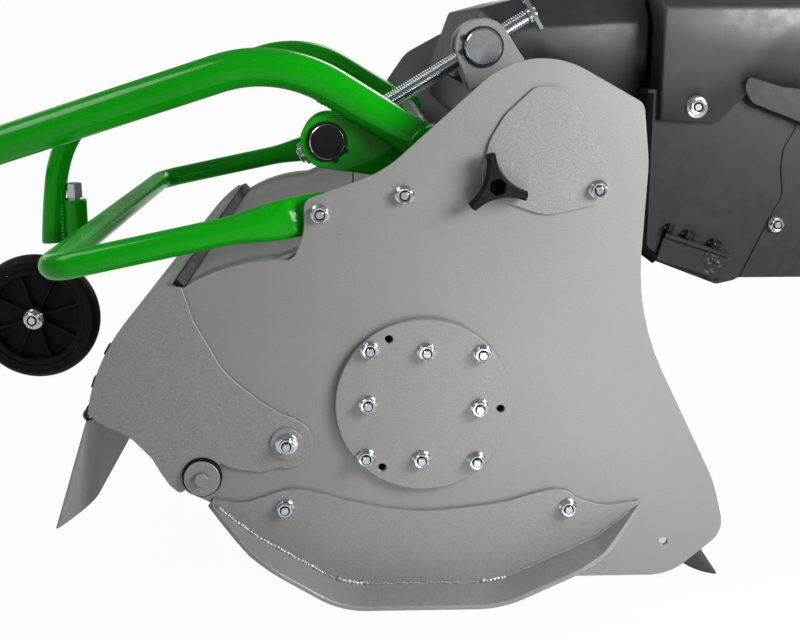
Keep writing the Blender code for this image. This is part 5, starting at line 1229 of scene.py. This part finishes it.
def build_chassis():
    """Chassis side plates with the rolled edge, the welded angle, the seam plate and its bolt.

    The lump of weld on the seam is a low dome whose outline and height ripple.
    """
    rear = 0.4397
    outline = rounded([(0.246, 0.318, 0.004), (0.246, 0.1365, 0.010), (0.332, 0.1035, 0.012),
                       (0.3515, 0.1080, 0.006), (0.3565, 0.1110, 0.004), (rear, 0.1110), (rear, 0.318)], 6)
    face = [(0.2704, 0.1634), (0.3423, 0.1395), (0.3357, 0.1096), (0.2614, 0.1320)]
    lip = [(0.2704, 0.1634), (0.3423, 0.1395), (0.3413, 0.1345), (0.2694, 0.1584)]
    seam = rounded([(0.4110, 0.324), (0.4084, 0.2763, 0.010), (0.3964, 0.2531, 0.020),
                    (0.3951, 0.2332, 0.020), (0.3991, 0.2023, 0.020), (0.3893, 0.1840, 0.020),
                    (0.3586, 0.1155), (0.3570, 0.1112), (0.432, 0.1112), (0.432, 0.324)], 6)
    r, a = np.meshgrid(np.linspace(0, 1, 12), np.linspace(0, TAU, 72, endpoint=False), indexing="ij")
    out = 0.0165 * r * (1 + 0.07 * np.sin(3 * a + 1) + 0.05 * np.sin(7 * a))
    waves = 0.55 + 0.30 * np.sin(9 * r + 3 * a) + 0.25 * np.cos(17 * r - 5 * a)
    rise = 0.0016 * (1 - r ** 6) * waves - 0.0002
    lump = np.stack([0.3262 + out * np.cos(a), 0.1290 + out * np.sin(a)], axis=-1)
    for side in BOTH:
        plate = Piece("chassis_look_" + side_name(side), "deck", "painted", "zinc", "hole")
        plate.plate([outline], *span(side, 0.105, 0.110), edge=0.0006)
        y = across(side, 0.1043)
        edge = rounded([(0.2465, y, 0.314, 0), (0.2465, y, 0.1440, 0.012), (0.2620, y, 0.1325, 0)],
                       8, closed=False)
        # Painted shade: the rolled edge is a near black tube, darker than the plate's paint.
        plate.use("hole")
        plate.tube(edge, radius=0.0055, reference=(0, 1, 0), around=24)
        plate.use("painted")
        for loop, inboard, chamfer in ((face, 0.099, 0.0010), (lip, 0.0955, 0.0008), (seam, 0.1034, 0.0012)):
            plate.plate([loop], *span(side, inboard, 0.106), chamfer)
        for x, z, half in ((0.2752, 0.1660, 0.0062), (0.2985, 0.1582, 0.0092), (0.3280, 0.1480, 0.0092)):
            t = np.linspace(-half, half, 10)
            plate.bead(at(np.stack([x + t, z - 0.33 * t], axis=1), across(side, 0.0995)), radius=0.0055)
        plate.grid(at(lump, side * (HALF - 0.0990 + rise)), wrap_v=True)
        plate.use("zinc")
        plate.nut((0.3939, across(side, 0.102), 0.1711), (0, side, 0), width=0.013, height=0.007,
                  washer=0.0088, bolt=0.004, tail=0.001)
        plate.build(["chassis_" + side_name(side)], slot="black_steel")


def build_plain_pieces():
    """Finishes for the CAD nodes that show as they are."""
    groups = {
        "powder": ["tie_bar"],
        "zinc": ["pivot_shaft", "bearing_near", "bearing_far"],
        "painted": ["chassis_front_plate", "coupling_flange", "belt_case", "gearbox", "deck_beam"],
        "forged": ["rotor", "rotor_pulley", "drive_shaft", "input_shaft"]
        + ["hammer_%02d" % (i + 1) for i in range(12)],
        "rubber": ["drive_belt"],
    }
    for finish, names in groups.items():
        for name in names:
            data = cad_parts[name].data
            data.materials.clear()
            data.materials.append(FINISHES[finish](bpy.context.scene.mower_colours))


def white_background(tree, end, kind, seen, mirrored):
    """Mix white light in for rays from the camera, from mirrors and through glass."""
    out = next(node for node in tree.nodes if node.bl_idname == end)
    light = Field(tree, out.inputs["Surface"].links[0].from_socket)
    rays = tree.nodes.new("ShaderNodeLightPath")
    camera, glossy, clear = (Field(tree, rays.outputs[key])
                             for key in ("Is Camera Ray", "Is Glossy Ray", "Is Transmission Ray"))
    factor = camera * seen + glossy * mirrored + clear * seen
    white = light.node(kind, {"Color": (1.0, 1.0, 1.0), "Strength": 1.0})
    feed(tree, out.inputs["Surface"], light.node("ShaderNodeMixShader", {0: factor, 1: light, 2: white}))


def put(thing, place):
    """Set an object down in the scene."""
    thing.location = place
    bpy.context.scene.collection.objects.link(thing)


def build_stage():
    """White floor that keeps the shadow, a white world, soft studio light, and the photograph's camera."""
    scene = bpy.context.scene
    reach = 14.0
    mesh = bpy.data.meshes.new("floor")
    mesh.from_pydata([(-reach, -reach, 0), (reach, -reach, 0), (reach, reach, 0), (-reach, reach, 0)], [],
                     [(0, 1, 2, 3)])
    floor = bpy.data.objects.new("floor", mesh)
    put(floor, (0, 0, -0.0005))    # just under the skids' soles
    paper = material("floor", (0.72, 0.72, 0.72), 0.9)
    mesh.materials.append(paper)
    white_background(paper.node_tree, "ShaderNodeOutputMaterial", "ShaderNodeEmission",
                     seen=0.965, mirrored=0.55)
    world = bpy.data.worlds.new("studio")
    world.use_nodes = True
    world.node_tree.nodes["Background"].inputs[0].default_value = (0.96, 0.97, 1.0, 1.0)
    world.node_tree.nodes["Background"].inputs[1].default_value = 0.14
    white_background(world.node_tree, "ShaderNodeOutputWorld", "ShaderNodeBackground",
                     seen=0.97, mirrored=0.10)
    scene.world = world
    target = np.array([0.1, -0.1, 0.3])
    # Name, place, width of the square, watts
    lamps = (("key", (0.80, -0.95, 0.70), 0.42, 11.5), ("low", (0.30, -0.87, 0.06), 0.30, 0.9),
             ("top", (-1.00, -0.55, 1.40), 0.60, 7.0), ("rear", (0.9, 1.9, 1.7), 1.4, 30.0),
             ("far", (-1.6, 1.2, 1.0), 1.2, 7.0))
    for name, place, size, power in lamps:
        data = bpy.data.lights.new(name, "AREA")
        data.shape = "SQUARE"
        data.size = size
        data.energy = power
        lamp = bpy.data.objects.new(name, data)
        lamp.visible_camera = False
        lamp.rotation_euler = rotation(target - np.array(place))
        put(lamp, place)
    data = bpy.data.cameras.new("camera")
    focal_pixels, picture_pixels = 1250.0, 800.0
    data.sensor_width = 36.0
    data.lens = data.sensor_width * focal_pixels / picture_pixels
    camera = bpy.data.objects.new("camera", data)
    camera.rotation_euler = rotation(np.array([0.0334, 0.9730, -0.2282]))
    put(camera, (AXIS[0] - 0.0674, -HALF - 1.250, AXIS[2] + 0.383))
    scene.camera = camera
    scene.view_settings.view_transform = "Standard"


def rotation(aim):
    """Euler angles that point an object's -Z along a direction, its top up."""
    return Vector(aim.tolist()).to_track_quat("-Z", "Y").to_euler()


# Operators and panel

class MowerOperator:
    """Shared by the operators that build one group of pieces."""
    bl_options = {"REGISTER", "UNDO"}

    def execute(self, context):
        self.work()
        return {"FINISHED"}


def operator(function):
    """Operator class that calls one build function and takes its name and words from it."""
    name = function.__name__.removeprefix("build_")
    members = {"bl_idname": "mower." + name, "bl_label": name.replace("_", " ").capitalize(),
               "__doc__": function.__doc__, "work": staticmethod(function)}
    return type("MOWER_OT_" + name, (MowerOperator, bpy.types.Operator), members)


OPERATORS = [operator(function) for function in (
    build_side_plates, build_bearing_flanges, build_skids, build_hoods, build_flaps, build_access_cover,
    build_star_knob, build_guard_bar, build_arm_frame, build_height_screw, build_castor, build_covers,
    build_chassis, build_plain_pieces, build_stage)]


class MOWER_PT_panel(bpy.types.Panel):
    """One button for each group of pieces, and the sizes and colours they use."""
    bl_label = "Hammer knife mower"
    bl_idname = "MOWER_PT_panel"
    bl_space_type = "VIEW_3D"
    bl_region_type = "UI"
    bl_category = "Mower"

    def draw(self, context):
        for group in (context.scene.mower_sizes, context.scene.mower_colours):
            for key in group.__annotations__:
                self.layout.prop(group, key)
        for item in OPERATORS:
            self.layout.operator(item.bl_idname)


CLASSES = [MowerSizes, MowerColours] + OPERATORS + [MOWER_PT_panel]


def register():
    """Register the classes and hang the property groups on the scene."""
    for item in CLASSES:
        bpy.utils.register_class(item)
    bpy.types.Scene.mower_sizes = PointerProperty(type=MowerSizes)
    bpy.types.Scene.mower_colours = PointerProperty(type=MowerColours)


def unregister():
    """Undo register."""
    del bpy.types.Scene.mower_colours
    del bpy.types.Scene.mower_sizes
    for item in reversed(CLASSES):
        bpy.utils.unregister_class(item)


def main():
    """Build every group in order and note the sizes."""
    register()
    for item in OPERATORS:
        family, name = item.bl_idname.split(".")
        getattr(getattr(bpy.ops, family), name)()
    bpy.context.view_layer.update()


if __name__ == "__main__":
    main()
